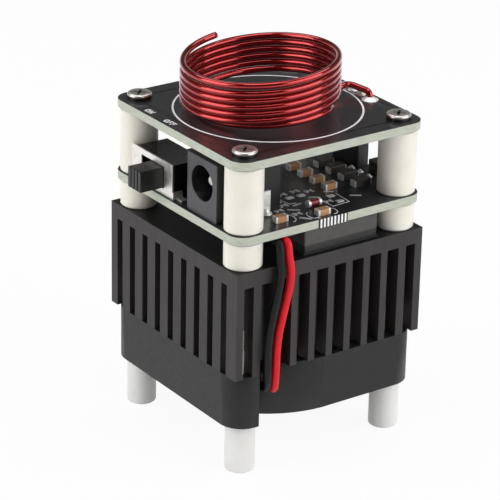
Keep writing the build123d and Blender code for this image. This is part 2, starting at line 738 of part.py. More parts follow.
with BuildPart() as power_package:
    block(package_x, package_y, (pad_top, mould_top))
    fillet(power_package.edges().filter_by(Axis.Z), PACKAGE_ROUND)
    block(tab_x, tab_y, (pad_top, tab_top), mode=Mode.SUBTRACT)
save(power_package, "power_package")

leg_low = tab_top + LEG_RISE
with BuildPart() as power_legs:
    for x, y in leg_places:
        leg_x = (x - LEG_WIDTH / 2, x + LEG_WIDTH / 2)
        block(leg_x, (package_y[1], leg_end), (leg_low, leg_low + LEG_THICKNESS))
        block(
            leg_x,
            (leg_end - LEG_THICKNESS, leg_end),
            (leg_low, control_top + LEG_STANDOUT),
        )
save(power_legs, "power_legs")

# ---------------------------------------------------------------- slide switch
with BuildPart() as switch_body:
    block(
        (switch_back, switch_back + SWITCH_DEPTH),
        (SWITCH_START, switch_body_end),
        (control_top, control_top + SWITCH_HEIGHT - SWITCH_TOP_GAP),
    )
    base_low = control_top + HANDLE_LIFT - SLIDER_BASE_HEIGHT / 2
    block(
        (switch_back, cavity_back),
        (
            HANDLE_START - SLIDER_MARGIN - SLOT_CLEARANCE,
            handle_end + SLIDER_MARGIN + SWITCH_TRAVEL + SLOT_CLEARANCE,
        ),
        (base_low - SLOT_CLEARANCE, base_low + SLIDER_BASE_HEIGHT + SLOT_CLEARANCE),
        mode=Mode.SUBTRACT,
    )
    for y in contact_places:
        block(
            (cavity_back, cavity_back + CONTACT_THICKNESS),
            (y - CONTACT_WIDTH / 2, y + CONTACT_WIDTH / 2),
            (control_top, control_top + CONTACT_TOP),
            mode=Mode.SUBTRACT,
        )
save(switch_body, "switch_body")

with BuildPart() as switch_plate:
    block(
        (SWITCH_FRONT, switch_back),
        (SWITCH_START, switch_end),
        (control_top, control_top + SWITCH_HEIGHT),
    )
    block(
        (SWITCH_FRONT, switch_back),
        (HANDLE_START - SLOT_CLEARANCE, handle_end + SWITCH_TRAVEL + SLOT_CLEARANCE),
        (handle_low - SLOT_CLEARANCE, handle_high + SLOT_CLEARANCE),
        mode=Mode.SUBTRACT,
    )
    lug_back = switch_back + LUG_LENGTH + SWITCH_PLATE
    lug_side = SWITCH_START - SWITCH_PLATE
    block((SWITCH_FRONT, lug_back), (lug_side, SWITCH_START), (control_top, control_top + LUG_HEIGHT))
    block(
        (lug_back - LUG_LENGTH, lug_back),
        (lug_side - LUG_REACH, lug_side),
        (control_top, control_top + LUG_THICKNESS),
    )
save(switch_plate, "switch_plate")

with BuildPart() as switch_contacts:
    for y in contact_places:
        block(
            (cavity_back, cavity_back + CONTACT_THICKNESS),
            (y - CONTACT_WIDTH / 2, y + CONTACT_WIDTH / 2),
            (control_bottom - CONTACT_TAIL, control_top + CONTACT_TOP),
        )
save(switch_contacts, "switch_contacts")

slider_front = switch_back + SLOT_CLEARANCE
slider_back = slider_front + SLIDER_BASE
handle_tip = SWITCH_FRONT - HANDLE_OUT
rib_pitch = HANDLE_WIDTH / HANDLE_RIB_COUNT
with BuildPart() as switch_handle:
    block((handle_tip, slider_front), (HANDLE_START, handle_end), (handle_low, handle_high))
    block(
        (slider_front, slider_back),
        (HANDLE_START - SLIDER_MARGIN, handle_end + SLIDER_MARGIN),
        (base_low, base_low + SLIDER_BASE_HEIGHT),
    )
    for rib in range(1, HANDLE_RIB_COUNT):
        groove = HANDLE_START + rib_pitch * rib
        block(
            (handle_tip, handle_tip + HANDLE_RIB_DEPTH),
            (groove - HANDLE_RIB_DEPTH / 2, groove + HANDLE_RIB_DEPTH / 2),
            (handle_low, handle_high),
            mode=Mode.SUBTRACT,
        )
save(switch_handle, "switch_handle")

wiper_middle = control_top + HANDLE_LIFT
with BuildPart() as switch_wiper:
    block(
        (slider_back, slider_back + WIPER_THICKNESS),
        (contact_places[0] - CONTACT_WIDTH / 2, contact_places[1] + CONTACT_WIDTH / 2),
        (wiper_middle - WIPER_HEIGHT / 2, wiper_middle + WIPER_HEIGHT / 2),
    )
    with BuildSketch(Plane.YZ.offset(slider_back + WIPER_THICKNESS)):
        with Locations(*[(y, wiper_middle) for y in contact_places[:2]]):
            Circle(WIPER_BUMP_RADIUS)
    extrude(amount=cavity_back - WIPER_CLEARANCE - slider_back - WIPER_THICKNESS)
    fillet(switch_wiper.edges().group_by(Axis.X)[-1], WIPER_BUMP_ROUND)
save(switch_wiper, "switch_wiper")

# ---------------------------------------------------------------- power socket
spring_outer = JACK_CENTRE - SPRING_OFFSET - SPRING_THICKNESS
spring_z = (jack_axis - SPRING_HEIGHT / 2, jack_axis + SPRING_HEIGHT / 2)
spring_end = jack_bore_end + SPRING_GRIP
jack_front_end = JACK_FRONT + JACK_FRONT_DEPTH
with BuildPart() as jack_housing:
    block(
        (jack_front_end, jack_back),
        (jack_side, jack_side + JACK_WIDTH),
        (control_top, control_top + JACK_HEIGHT - JACK_REAR_DROP),
    )
    top_edges = jack_housing.faces().sort_by(Axis.Z)[-1].edges().filter_by(Axis.X)
    chamfer(top_edges, JACK_REAR_CHAMFER)
    block(
        (JACK_FRONT, jack_front_end),
        (jack_side, jack_side + JACK_WIDTH),
        (control_top, control_top + JACK_HEIGHT),
    )
    with BuildSketch(Plane.YZ.offset(JACK_FRONT)):
        with Locations((JACK_CENTRE, jack_axis)):
            Circle(JACK_BORE / 2)
    extrude(amount=JACK_BORE_DEPTH, mode=Mode.SUBTRACT)
    with BuildSketch(Plane.YZ.offset(jack_bore_end)):
        with Locations((JACK_CENTRE, jack_axis)):
            Circle(JACK_PIN_DIAMETER / 2)
    extrude(amount=jack_back - jack_bore_end, mode=Mode.SUBTRACT)
    block(
        (JACK_FRONT + SPRING_START - SLOT_CLEARANCE, jack_bore_end),
        (spring_outer - SPRING_SLOT_DEPTH, JACK_CENTRE),
        (spring_z[0] - SLOT_CLEARANCE, spring_z[1] + SLOT_CLEARANCE),
        mode=Mode.SUBTRACT,
    )
    block(
        (jack_bore_end, spring_end),
        (spring_outer, spring_outer + SPRING_THICKNESS),
        spring_z,
        mode=Mode.SUBTRACT,
    )
save(jack_housing, "jack_housing")

with BuildPart() as jack_pin:
    pin_start = JACK_FRONT + JACK_PIN_SET_BACK
    with BuildSketch(Plane.YZ.offset(pin_start)):
        with Locations((JACK_CENTRE, jack_axis)):
            Circle(JACK_PIN_DIAMETER / 2)
    extrude(amount=jack_back + TERMINAL_THICKNESS - pin_start)
    fillet(jack_pin.edges().group_by(Axis.X)[0], JACK_PIN_DIAMETER / 4)
save(jack_pin, "jack_pin")

with BuildPart() as jack_spring:
    block(
        (JACK_FRONT + SPRING_START, spring_end),
        (spring_outer, spring_outer + SPRING_THICKNESS),
        spring_z,
    )
save(jack_spring, "jack_spring")

tail_bottom = control_bottom - TERMINAL_TAIL
with BuildPart() as jack_terminals:
    block(
        (jack_back, jack_back + TERMINAL_THICKNESS),
        (JACK_CENTRE - REAR_TERMINAL_WIDTH / 2, JACK_CENTRE + REAR_TERMINAL_WIDTH / 2),
        (control_top, control_top + REAR_TERMINAL_TOP),
    )
    with BuildSketch(Plane.YZ.offset(jack_back)):
        with Locations((JACK_CENTRE, jack_axis)):
            Circle(JACK_PIN_DIAMETER / 2)
    extrude(amount=TERMINAL_THICKNESS, mode=Mode.SUBTRACT)
    block(
        (jack_back, jack_back + TERMINAL_THICKNESS),
        (JACK_CENTRE - TERMINAL_LEG / 2, JACK_CENTRE + TERMINAL_LEG / 2),
        (tail_bottom, control_top),
    )
    block(
        (side_terminal[0] - SIDE_TERMINAL_WIDTH / 2, side_terminal[0] + SIDE_TERMINAL_WIDTH / 2),
        (jack_side - TERMINAL_THICKNESS, jack_side),
        (control_top, control_top + SIDE_TERMINAL_TOP),
    )
    block(
        (side_terminal[0] - TERMINAL_LEG / 2, side_terminal[0] + TERMINAL_LEG / 2),
        (jack_side - TERMINAL_THICKNESS, jack_side),
        (tail_bottom, control_top),
    )
save(jack_terminals, "jack_terminals")

# ---------------------------------------------------------------- board to board header
header_x = (HEADER_CENTRE[0] - HEADER_WIDTH / 2, HEADER_CENTRE[0] + HEADER_WIDTH / 2)
header_y = (HEADER_CENTRE[1] - header_length / 2, HEADER_CENTRE[1] + header_length / 2)
socket_top = control_top + SOCKET_HEIGHT
well_bottom = socket_top - SOCKET_WELL
with BuildPart() as header_socket:
    block(header_x, header_y, (control_top, socket_top))
    with BuildSketch(Plane.XY.offset(well_bottom)):
        with Locations(*header_places):
            Rectangle(PIN_SIDE + 2 * PIN_CLEARANCE, PIN_SIDE + 2 * PIN_CLEARANCE)
    extrude(amount=SOCKET_WELL, mode=Mode.SUBTRACT)
    with BuildSketch(Plane.XY.offset(control_top)):
        with Locations(*header_places):
            Rectangle(TAIL_SIDE, TAIL_SIDE)
    extrude(amount=well_bottom - control_top, mode=Mode.SUBTRACT)
save(header_socket, "header_socket")

with BuildPart() as header_plug:
    block(header_x, header_y, (top_bottom - PLUG_HEIGHT, top_bottom))
    with BuildSketch(Plane.XY.offset(top_bottom - PLUG_HEIGHT)):
        with Locations(*header_places):
            Rectangle(PIN_SIDE, PIN_SIDE)
    extrude(amount=PLUG_HEIGHT, mode=Mode.SUBTRACT)
save(header_plug, "header_plug")

pin_bottom = socket_top - PIN_DEPTH
with BuildPart() as header_pins:
    with BuildSketch(Plane.XY.offset(pin_bottom)):
        with Locations(*header_places):
            Rectangle(PIN_SIDE, PIN_SIDE)
    extrude(amount=top_face + PIN_STANDOUT - pin_bottom)
    with BuildSketch(Plane.XY.offset(tail_bottom)):
        with Locations(*header_places):
            Rectangle(TAIL_SIDE, TAIL_SIDE)
    extrude(amount=well_bottom - tail_bottom)
save(header_pins, "header_pins")

# ---------------------------------------------------------------- chip capacitors
chip_body = CHIP_LENGTH - 2 * CHIP_CAP
with BuildPart() as capacitor_bodies:
    with BuildSketch(Plane.XY.offset(control_top)):
        with Locations(*chip_places):
            Rectangle(chip_body, CHIP_WIDTH)
    extrude(amount=CHIP_HEIGHT)
save(capacitor_bodies, "capacitor_bodies")

cap_offset = (chip_body + CHIP_CAP) / 2
with BuildPart() as capacitor_ends:
    with BuildSketch(Plane.XY.offset(control_top)):
        with Locations(*[(x + side * cap_offset, y) for x, y in chip_places for side in (-1, 1)]):
            Rectangle(CHIP_CAP, CHIP_WIDTH)
    extrude(amount=CHIP_HEIGHT)
save(capacitor_ends, "capacitor_ends")

# ---------------------------------------------------------------- glass diode
glass_x = GLASS_CENTRE[0] - GLASS_LENGTH / 2
glass_axis = control_top + GLASS_CAP_RADIUS
with BuildPart() as glass_diode:
    with BuildSketch(Plane.YZ.offset(glass_x + GLASS_CAP)):
        with Locations((GLASS_CENTRE[1], glass_axis)):
            Circle(GLASS_RADIUS)
    extrude(amount=GLASS_LENGTH - 2 * GLASS_CAP)
save(glass_diode, "glass_diode")

with BuildPart() as glass_diode_ends:
    for start in (glass_x, glass_x + GLASS_LENGTH - GLASS_CAP):
        with BuildSketch(Plane.YZ.offset(start)):
            with Locations((GLASS_CENTRE[1], glass_axis)):
                Circle(GLASS_CAP_RADIUS)
        extrude(amount=GLASS_CAP)
save(glass_diode_ends, "glass_diode_ends")

# ---------------------------------------------------------------- rectifier diodes
with BuildPart() as rectifier_bodies:
    with BuildSketch(Plane.XY.offset(control_top)):
        with Locations(*rectifier_places):
            Rectangle(RECTIFIER_LENGTH, RECTIFIER_WIDTH)
    extrude(amount=RECTIFIER_HEIGHT)
    chamfer(rectifier_bodies.edges().group_by(Axis.Z)[-1], RECTIFIER_CHAMFER)
save(rectifier_bodies, "rectifier_bodies")

lead_offset = (RECTIFIER_LENGTH + RECTIFIER_LEAD) / 2
with BuildPart() as rectifier_leads:
    with BuildSketch(Plane.XY.offset(control_top)):
        with Locations(
            *[(x + side * lead_offset, y) for x, y in rectifier_places for side in (-1, 1)]
        ):
            Rectangle(RECTIFIER_LEAD, RECTIFIER_LEAD_WIDTH)
    extrude(amount=RECTIFIER_LEAD_TOP)
save(rectifier_leads, "rectifier_leads")

# ---------------------------------------------------------------- choke bead and edge contacts
with BuildPart() as choke_bead:
    with BuildSketch(Plane.XY.offset(control_top)):
        with Locations(BEAD_CENTRE):
            Rectangle(BEAD_SIZE[0], BEAD_SIZE[1])
    extrude(amount=BEAD_SIZE[2])
    fillet(choke_bead.edges().filter_by(Axis.Z), BEAD_ROUND)
save(choke_bead, "choke_bead")

with BuildPart() as edge_contacts:
    with BuildSketch(Plane.XY.offset(control_bottom)):
        with Locations((0, -SIDE / 2 - EDGE_CONTACT_THICKNESS / 2)):
            with GridLocations(EDGE_CONTACT_PITCH, 0, EDGE_CONTACTS, 1):
                Rectangle(EDGE_CONTACT_WIDTH, EDGE_CONTACT_THICKNESS)
    extrude(amount=BOARD_THICKNESS)
save(edge_contacts, "edge_contacts")

# ---------------------------------------------------------------- primary coil
# One wire: it winds down from its free tip in turns that all lean the same way, passes
# inside the turn above near its end, leaves along a tangent, folds back in a hairpin and
# drops through the board.
descent = COIL_PITCH / 360


def coil_tuck(swept):
    """How far the last turn is drawn in, from 0 to 1."""
    along = (swept - COIL_SWEEP) / COIL_TUCK_SWEEP + 1
    return math.sin(math.pi * along) ** 2 if 0 < along < 1 else 0.0


def coil_height(swept):
    """Height of the wire above the board, with the lean and the spring of its free tip."""
    lean = math.cos(math.radians(COIL_TOP_ANGLE + swept - COIL_TILT_ANGLE))
    spring = max(0.0, 1 - swept / COIL_TIP_SPRING)
    height = COIL_TOP - descent * swept + COIL_TILT * lean
    return height + COIL_TIP_LIFT * spring**2 + COIL_TUCK_RISE * coil_tuck(swept)


def coil_point(swept):
    """A point on the wire's centre line, swept degrees on from the free tip."""
    turn = math.radians(COIL_TOP_ANGLE + swept)
    radius = COIL_RADIUS - COIL_TUCK * coil_tuck(swept)
    return Vector(
        COIL_CENTRE[0] + radius * math.cos(turn),
        COIL_CENTRE[1] + radius * math.sin(turn),
        top_face + coil_height(swept),
    )


def coil_direction(swept):
    """The wire's direction there."""
    step = 0.01
    return (coil_point(swept + step) - coil_point(swept - step)).normalized()


def biarc(start, start_direction, end, end_direction):
    """Two arcs, tangent to each other, that join two points along two directions."""
    chord = end - start
    along = chord.dot(start_direction + end_direction)
    spread = 2 * (1 - start_direction.dot(end_direction))
    reach = (math.sqrt(along**2 + spread * chord.dot(chord)) - along) / spread
    before = start + start_direction * reach
    after = end - end_direction * reach
    middle = (before + after) / 2
    TangentArc(start, middle, tangent=start_direction)
    TangentArc(middle, end, tangent=after - before)


arc_sweep = COIL_SWEEP / COIL_ARCS
coil_exit = coil_point(COIL_SWEEP)
exit_direction = coil_direction(COIL_SWEEP)
lead_points = [
    coil_exit,
    coil_exit + exit_direction * COIL_EXIT_RUN,
    Vector(*HAIRPIN_AT, top_face + HAIRPIN_HEIGHT),
    Vector(*LEAD_HOLE_AT, top_face + DROP_HEIGHT),
    Vector(*LEAD_HOLE_AT, top_bottom - COIL_TAIL),
]
lead_bends = [COIL_EXIT_BEND, HAIRPIN_BEND, DROP_BEND]
with BuildPart() as primary_coil:
    with BuildLine() as coil_route:
        tip = coil_point(0) - coil_direction(0) * COIL_TIP_STRAIGHT
        Line(tip, coil_point(0))
        for arc in range(COIL_ARCS):
            low, high = arc * arc_sweep, (arc + 1) * arc_sweep
            biarc(coil_point(low), coil_direction(low), coil_point(high), coil_direction(high))
        FilletPolyline(*lead_points, radius=lead_bends)
    with BuildSketch(Plane(tip, z_dir=coil_direction(0))):
        Circle(COIL_WIRE / 2)
    sweep()
save(primary_coil, "primary_coil")

coil_wire = coil_route.wires()[0]
samples = 1500
spacing = coil_wire.length / samples
line_points = [coil_wire.position_at(i / samples) for i in range(samples + 1)]
apart = int(COIL_WIRE * math.pi / spacing) + 1
least = min(
    (line_points[i] - line_points[j]).length
    for i in range(samples)
    for j in range(i + apart, samples + 1)
)
print(f"coil: length {coil_wire.length:.1f}, least gap to itself {least - COIL_WIRE:.3f}")
expected = math.pi * (COIL_WIRE / 2) ** 2 * coil_wire.length
print(f"  volume {primary_coil.part.volume:.2f} against {expected:.2f}")

# ---------------------------------------------------------------- joint and secondary socket
with BuildPart() as coil_joint:
    with BuildSketch(Plane.XY.offset(top_face)):
        with Locations(LEAD_HOLE_AT):
            Circle(SOLDER_RADIUS)
    with BuildSketch(Plane.XY.offset(top_face + SOLDER_HEIGHT)):
        with Locations(LEAD_HOLE_AT):
            Circle(SOLDER_TOP_RADIUS)
    loft()
    with BuildSketch(Plane.XY.offset(top_face)):
        with Locations(LEAD_HOLE_AT):
            Circle(COIL_WIRE / 2)
    extrude(amount=SOLDER_HEIGHT, mode=Mode.SUBTRACT)
save(coil_joint, "coil_joint")

barrel_top = top_face + PIN_FLANGE + PIN_BARREL_HEIGHT
with BuildPart() as secondary_socket:
    with BuildSketch(Plane.XY.offset(top_face)):
        Circle(PIN_FLANGE_RADIUS)
    extrude(amount=PIN_FLANGE)
    with BuildSketch(Plane.XY.offset(top_face)):
        Circle(PIN_BARREL_RADIUS)
    extrude(amount=barrel_top - top_face)
    with BuildSketch(Plane.XY.offset(top_bottom - PIN_TAIL)):
        Circle(PIN_TAIL_RADIUS)
    extrude(amount=BOARD_THICKNESS + PIN_TAIL)
    with BuildSketch(Plane.XY.offset(top_face + PIN_FLANGE / 2)):
        Circle(PIN_BORE_RADIUS)
    extrude(amount=barrel_top - top_face, mode=Mode.SUBTRACT)
save(secondary_socket, "secondary_socket")
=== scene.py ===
"""Looks of the desktop resonant transformer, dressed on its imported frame.

Metres. +Z is up, the switch and the power socket face -X, the fan leads hang down -Y.
Lengths below are written in millimetres and scaled by MM.
"""
import bmesh
import bpy
import math
from mathutils import Matrix, Vector


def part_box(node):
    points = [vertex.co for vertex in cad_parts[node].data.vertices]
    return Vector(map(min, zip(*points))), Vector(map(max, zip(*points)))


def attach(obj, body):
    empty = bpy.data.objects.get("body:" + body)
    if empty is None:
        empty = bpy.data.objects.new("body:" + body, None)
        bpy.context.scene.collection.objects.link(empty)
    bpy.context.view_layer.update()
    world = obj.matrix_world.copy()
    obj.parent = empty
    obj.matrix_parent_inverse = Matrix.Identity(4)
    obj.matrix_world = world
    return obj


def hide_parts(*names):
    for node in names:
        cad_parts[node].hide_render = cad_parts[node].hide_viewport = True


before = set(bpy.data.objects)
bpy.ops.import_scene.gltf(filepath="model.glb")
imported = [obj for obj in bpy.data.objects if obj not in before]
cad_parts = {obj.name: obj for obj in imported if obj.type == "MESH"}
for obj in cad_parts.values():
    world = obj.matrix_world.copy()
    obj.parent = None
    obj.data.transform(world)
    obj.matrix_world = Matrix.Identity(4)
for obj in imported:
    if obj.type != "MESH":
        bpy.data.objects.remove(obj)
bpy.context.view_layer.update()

MM = 0.001
BASE = "base"


def mm(*values):
    """A point in metres from millimetres."""
    return Vector([value * MM for value in values])


def low_mm(node):
    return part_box(node)[0] / MM


def high_mm(node):
    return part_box(node)[1] / MM


# ---------------------------------------------------------------- levels in the frame
top_face = high_mm("top_board").z
control_top = high_mm("control_board").z
control_bottom = low_mm("control_board").z


# ================================================================ materials
class Shader:
    """One Principled material with short calls for the nodes that vary its surface."""

    def __init__(self, name, colour, roughness=0.5, metallic=0.0, **sockets):
        self.material = bpy.data.materials.new(name)
        self.material.use_nodes = True
        self.tree = self.material.node_tree
        self.principled = self.tree.nodes["Principled BSDF"]
        self.principled.inputs["Base Color"].default_value = (*colour, 1.0)
        self.principled.inputs["Roughness"].default_value = roughness
        self.principled.inputs["Metallic"].default_value = metallic
        for socket, value in sockets.items():
            self.principled.inputs[socket.replace("_", " ")].default_value = value
        self.coordinates = self.tree.nodes.new("ShaderNodeTexCoord")
        self.material.diffuse_color = (*colour, 1.0)

    def node(self, kind, **values):
        made = self.tree.nodes.new(kind)
        for name, value in values.items():
            setattr(made, name, value)
        return made

    def link(self, source, target):
        self.tree.links.new(source, target)

    def scaled(self, scale=(1, 1, 1)):
        """Object coordinates, stretched along each axis."""
        mapping = self.node("ShaderNodeMapping")
        mapping.inputs["Scale"].default_value = scale
        self.link(self.coordinates.outputs["Object"], mapping.inputs["Vector"])
        return mapping.outputs["Vector"]

    def noise(self, scale, detail=3.0, roughness=0.55, stretch=(1, 1, 1)):
        """Noise whose grain is about 1/scale metres."""
        texture = self.node("ShaderNodeTexNoise")
        texture.inputs["Scale"].default_value = scale
        texture.inputs["Detail"].default_value = detail
        texture.inputs["Roughness"].default_value = roughness
        self.link(self.scaled(stretch), texture.inputs["Vector"])
        return texture.outputs["Fac"]

    def ramp(self, factor, stops):
        """A colour ramp; each stop is a place and a grey value or a colour."""
        ramp = self.node("ShaderNodeValToRGB")
        elements = ramp.color_ramp.elements
        while len(elements) < len(stops):
            elements.new(0.5)
        for element, (place, colour) in zip(elements, stops):
            element.position = place
            element.color = (*colour, 1) if hasattr(colour, "__len__") else (colour,) * 3 + (1,)
        self.link(factor, ramp.inputs["Fac"])
        return ramp.outputs["Color"]

    def mix(self, factor, first, second):
        """Mixes two colours; each is a colour or another node's output."""
        mixed = self.node("ShaderNodeMix", data_type="RGBA")
        for name, value in (("Factor", factor), ("A", first), ("B", second)):
            socket = [s for s in mixed.inputs if s.name == name and s.enabled][0]
            if hasattr(value, "is_output"):
                self.link(value, socket)
            elif name == "Factor":
                socket.default_value = value
            else:
                socket.default_value = (*value, 1)
        return [s for s in mixed.outputs if s.enabled][0]

    def colour(self, output):
        self.link(output, self.principled.inputs["Base Color"])

    def roughness(self, output):
        self.link(output, self.principled.inputs["Roughness"])

    def share(self, axis, low, high):
        """Runs from 0 to 1 between two places on an axis of the object, in millimetres."""
        separate = self.node("ShaderNodeSeparateXYZ")
        self.link(self.coordinates.outputs["Object"], separate.inputs["Vector"])
        place = self.node("ShaderNodeMapRange")
        place.inputs["From Min"].default_value = low * MM
        place.inputs["From Max"].default_value = high * MM
        self.link(separate.outputs[axis], place.inputs["Value"])
        return place.outputs["Result"]

    def facing(self, axis, low, high):
        """Runs from 0 to 1 as the surface turns towards an axis, either way."""
        separate = self.node("ShaderNodeSeparateXYZ")
        self.link(self.coordinates.outputs["Normal"], separate.inputs["Vector"])
        flat = self.node("ShaderNodeMath", operation="ABSOLUTE")
        self.link(separate.outputs[axis], flat.inputs[0])
        return self.ramp(flat.outputs["Value"], [(low, 0.0), (high, 1.0)])

    def bump(self, height, strength, distance):
        """Adds a bump on top of the bumps that are there already."""
        bump = self.node("ShaderNodeBump")
        bump.inputs["Strength"].default_value = strength
        bump.inputs["Distance"].default_value = distance
        self.link(height, bump.inputs["Height"])
        normal = self.principled.inputs["Normal"]
        if normal.is_linked:
            self.link(normal.links[0].from_socket, bump.inputs["Normal"])
        self.link(bump.outputs["Normal"], normal)


def moulded(name, colour, roughness, grain=9000.0, depth=0.00002, spread=0.12, **sockets):
    """Moulded plastic: faint grain, faint mottling and uneven gloss."""
    shader = Shader(name, colour, roughness, **sockets)
    darker = tuple(c * (1 - spread) for c in colour)
    lighter = tuple(min(1, c * (1 + spread)) for c in colour)
    shader.colour(shader.ramp(shader.noise(350.0), [(0.3, darker), (0.7, lighter)]))
    gloss = shader.ramp(shader.noise(900.0), [(0.3, roughness * 0.85), (0.7, roughness * 1.15)])
    shader.roughness(gloss)
    if depth:
        shader.bump(shader.noise(grain), 0.25, depth)
    return shader


def plated(name, colour, roughness, scratch=(1, 1, 1), grain=2500.0, depth=0.000004):
    """Plated or tinned metal with fine scratches and uneven gloss."""
    shader = Shader(name, colour, roughness, metallic=1.0)
    darker = tuple(c * 0.88 for c in colour)
    shader.colour(shader.ramp(shader.noise(700.0, 4.0), [(0.3, darker), (0.65, colour)]))
    streaks = shader.noise(grain, 5.0, 0.6, scratch)
    shader.roughness(shader.ramp(streaks, [(0.25, roughness * 0.75), (0.75, roughness * 1.3)]))
    if depth:
        shader.bump(streaks, 0.2, depth)
    return shader


def make_board(name, gloss_low, gloss_high, coat):
    """Black solder mask on both faces, pale glass fibre on the cut edges."""
    shader = Shader(name, (0.012, 0.012, 0.014), 0.3, Coat_Weight=coat, Coat_Roughness=0.14)
    copper = shader.noise(260.0, 1.0, 0.2)
    mask = shader.ramp(copper, [(0.46, (0.014, 0.014, 0.016)), (0.52, (0.020, 0.020, 0.022))])
    layers = shader.noise(450.0, 3.0, 0.6, (1, 1, 9))
    fibre = shader.ramp(layers, [(0.3, (0.42, 0.45, 0.37)), (0.7, (0.56, 0.59, 0.50))])
    is_face = shader.facing("Z", 0.55, 0.7)
    shader.colour(shader.mix(is_face, fibre, mask))
    gloss = shader.ramp(shader.noise(1500.0), [(0.3, gloss_low), (0.7, gloss_high)])
    shader.roughness(shader.mix(is_face, (0.6, 0.6, 0.6), gloss))
    shader.bump(shader.ramp(copper, [(0.46, 0.0), (0.52, 1.0)]), 0.1, 0.00002)
    return shader


def make_enamel():
    """Clear red enamel over bright copper."""
    shader = Shader(
        "coil_enamel", (0.40, 0.003, 0.005), 0.2, metallic=0.9,
        Coat_Weight=1.0, Coat_Roughness=0.05, Coat_IOR=1.55,
    )
    tone = shader.noise(160.0, 2.0)
    shader.colour(shader.ramp(tone, [(0.3, (0.35, 0.002, 0.003)), (0.7, (0.44, 0.004, 0.005))]))
    shader.roughness(shader.ramp(shader.noise(300.0), [(0.3, 0.17), (0.7, 0.22)]))
    return shader


def make_heatsink():
    """Dark anodised extrusion, drawn along the fins; its faces that look up or down are painted near
    black as painted shade.
    """
    shader = Shader("heatsink", (0.024, 0.021, 0.020), 0.5, Specular_IOR_Level=0.4)
    drawn = shader.noise(900.0, 4.0, 0.6, (1, 1, 0.08))
    fins = shader.ramp(drawn, [(0.3, (0.024, 0.0215, 0.021)), (0.7, (0.038, 0.034, 0.033))])
    # painted shade: faces that look up or down take a near-black colour in place of the fins' colour
    shader.colour(shader.mix(shader.facing("Z", 0.6, 0.9), fins, (0.004, 0.0035, 0.0035)))
    shader.roughness(shader.ramp(shader.noise(2500.0), [(0.3, 0.45), (0.7, 0.58)]))
    shader.bump(shader.noise(5000.0, 3.0, 0.6, (1, 1, 0.15)), 0.25, 0.00001)
    return shader


def make_screw():
    """Nickel plate, bright on the head's crown, with painted shade: dark in its recess and down its
    side.
    """
    shader = plated("screw_nickel", (0.80, 0.77, 0.73), 0.34)
    # painted shade: below this crown mask the head's recess and side take a dark colour
    crown = shader.share("Z", top_face + 0.6, top_face + 0.85)
    stops = [(0.3, (0.70, 0.67, 0.63)), (0.65, (0.82, 0.79, 0.75))]
    bright = shader.ramp(shader.noise(700.0, 4.0), stops)
    shader.colour(shader.mix(crown, (0.10, 0.095, 0.09), bright))
    return shader


def make_jack():
    """Black moulding with painted shade: its sides that face ±Y are painted darker, and everything more
    than 0.35 mm behind its front face, bore included, is painted near black and matt.
    """
    shader = moulded("jack_plastic", (0.030, 0.030, 0.033), 0.4)
    front = low_mm("jack_housing").x
    # painted shade: more than 0.35 mm behind the front face the colour goes near black, bore included
    bore_shade_mask = shader.share("X", front + 0.35, front + 0.15)
    pale = shader.ramp(shader.noise(350.0), [(0.3, (0.050, 0.050, 0.054)), (0.7, (0.062, 0.062, 0.067))])
    # painted shade: faces that look along ±Y are painted much darker than the front face
    shaded_sides = shader.mix(shader.facing("Y", 0.6, 0.9), pale, (0.010, 0.010, 0.011))
    shader.colour(shader.mix(bore_shade_mask, (0.003, 0.003, 0.0035), shaded_sides))
    return shader


def make_package():
    """Epoxy package: lighter above its parting line, darker below it."""
    shader = Shader("package_epoxy", (0.035, 0.033, 0.031), 0.45)
    parting = low_mm("power_package").z + 1.4
    above = shader.share("Z", parting - 0.1, parting + 0.1)
    lighter_stops = [(0.3, (0.060, 0.056, 0.053)), (0.7, (0.074, 0.069, 0.066))]
    darker_stops = [(0.3, (0.012, 0.011, 0.010)), (0.7, (0.020, 0.018, 0.017))]
    upper = shader.ramp(shader.noise(600.0), lighter_stops)
    lower = shader.ramp(shader.noise(900.0), darker_stops)
    shader.colour(shader.mix(above, lower, upper))
    shader.bump(shader.noise(9000.0), 0.25, 0.00001)
    return shader


def make_sleeve(name, colour, gloss):
    """Glossy PVC insulation."""
    return moulded(name, colour, gloss, 1500.0, 0.0, 0.06, Specular_IOR_Level=0.25, Coat_Weight=0.1)


def make_glass():
    """Clear red glass."""
    shader = Shader("red_glass", (0.45, 0.01, 0.02), 0.06, IOR=1.5, Transmission_Weight=0.35)
    tone = shader.noise(900.0)
    shader.colour(shader.ramp(tone, [(0.3, (0.34, 0.010, 0.022)), (0.7, (0.46, 0.014, 0.034))]))
    return shader


def make_nylon(name, colour):
    """Translucent ivory nylon with faint flow lines."""
    shader = moulded(
        name, colour, 0.36, 2500.0, 0.00001, 0.025, Subsurface_Weight=0.3, Subsurface_Scale=0.001
    )
    shader.principled.inputs["Subsurface Radius"].default_value = (1.0, 0.75, 0.5)
    return shader


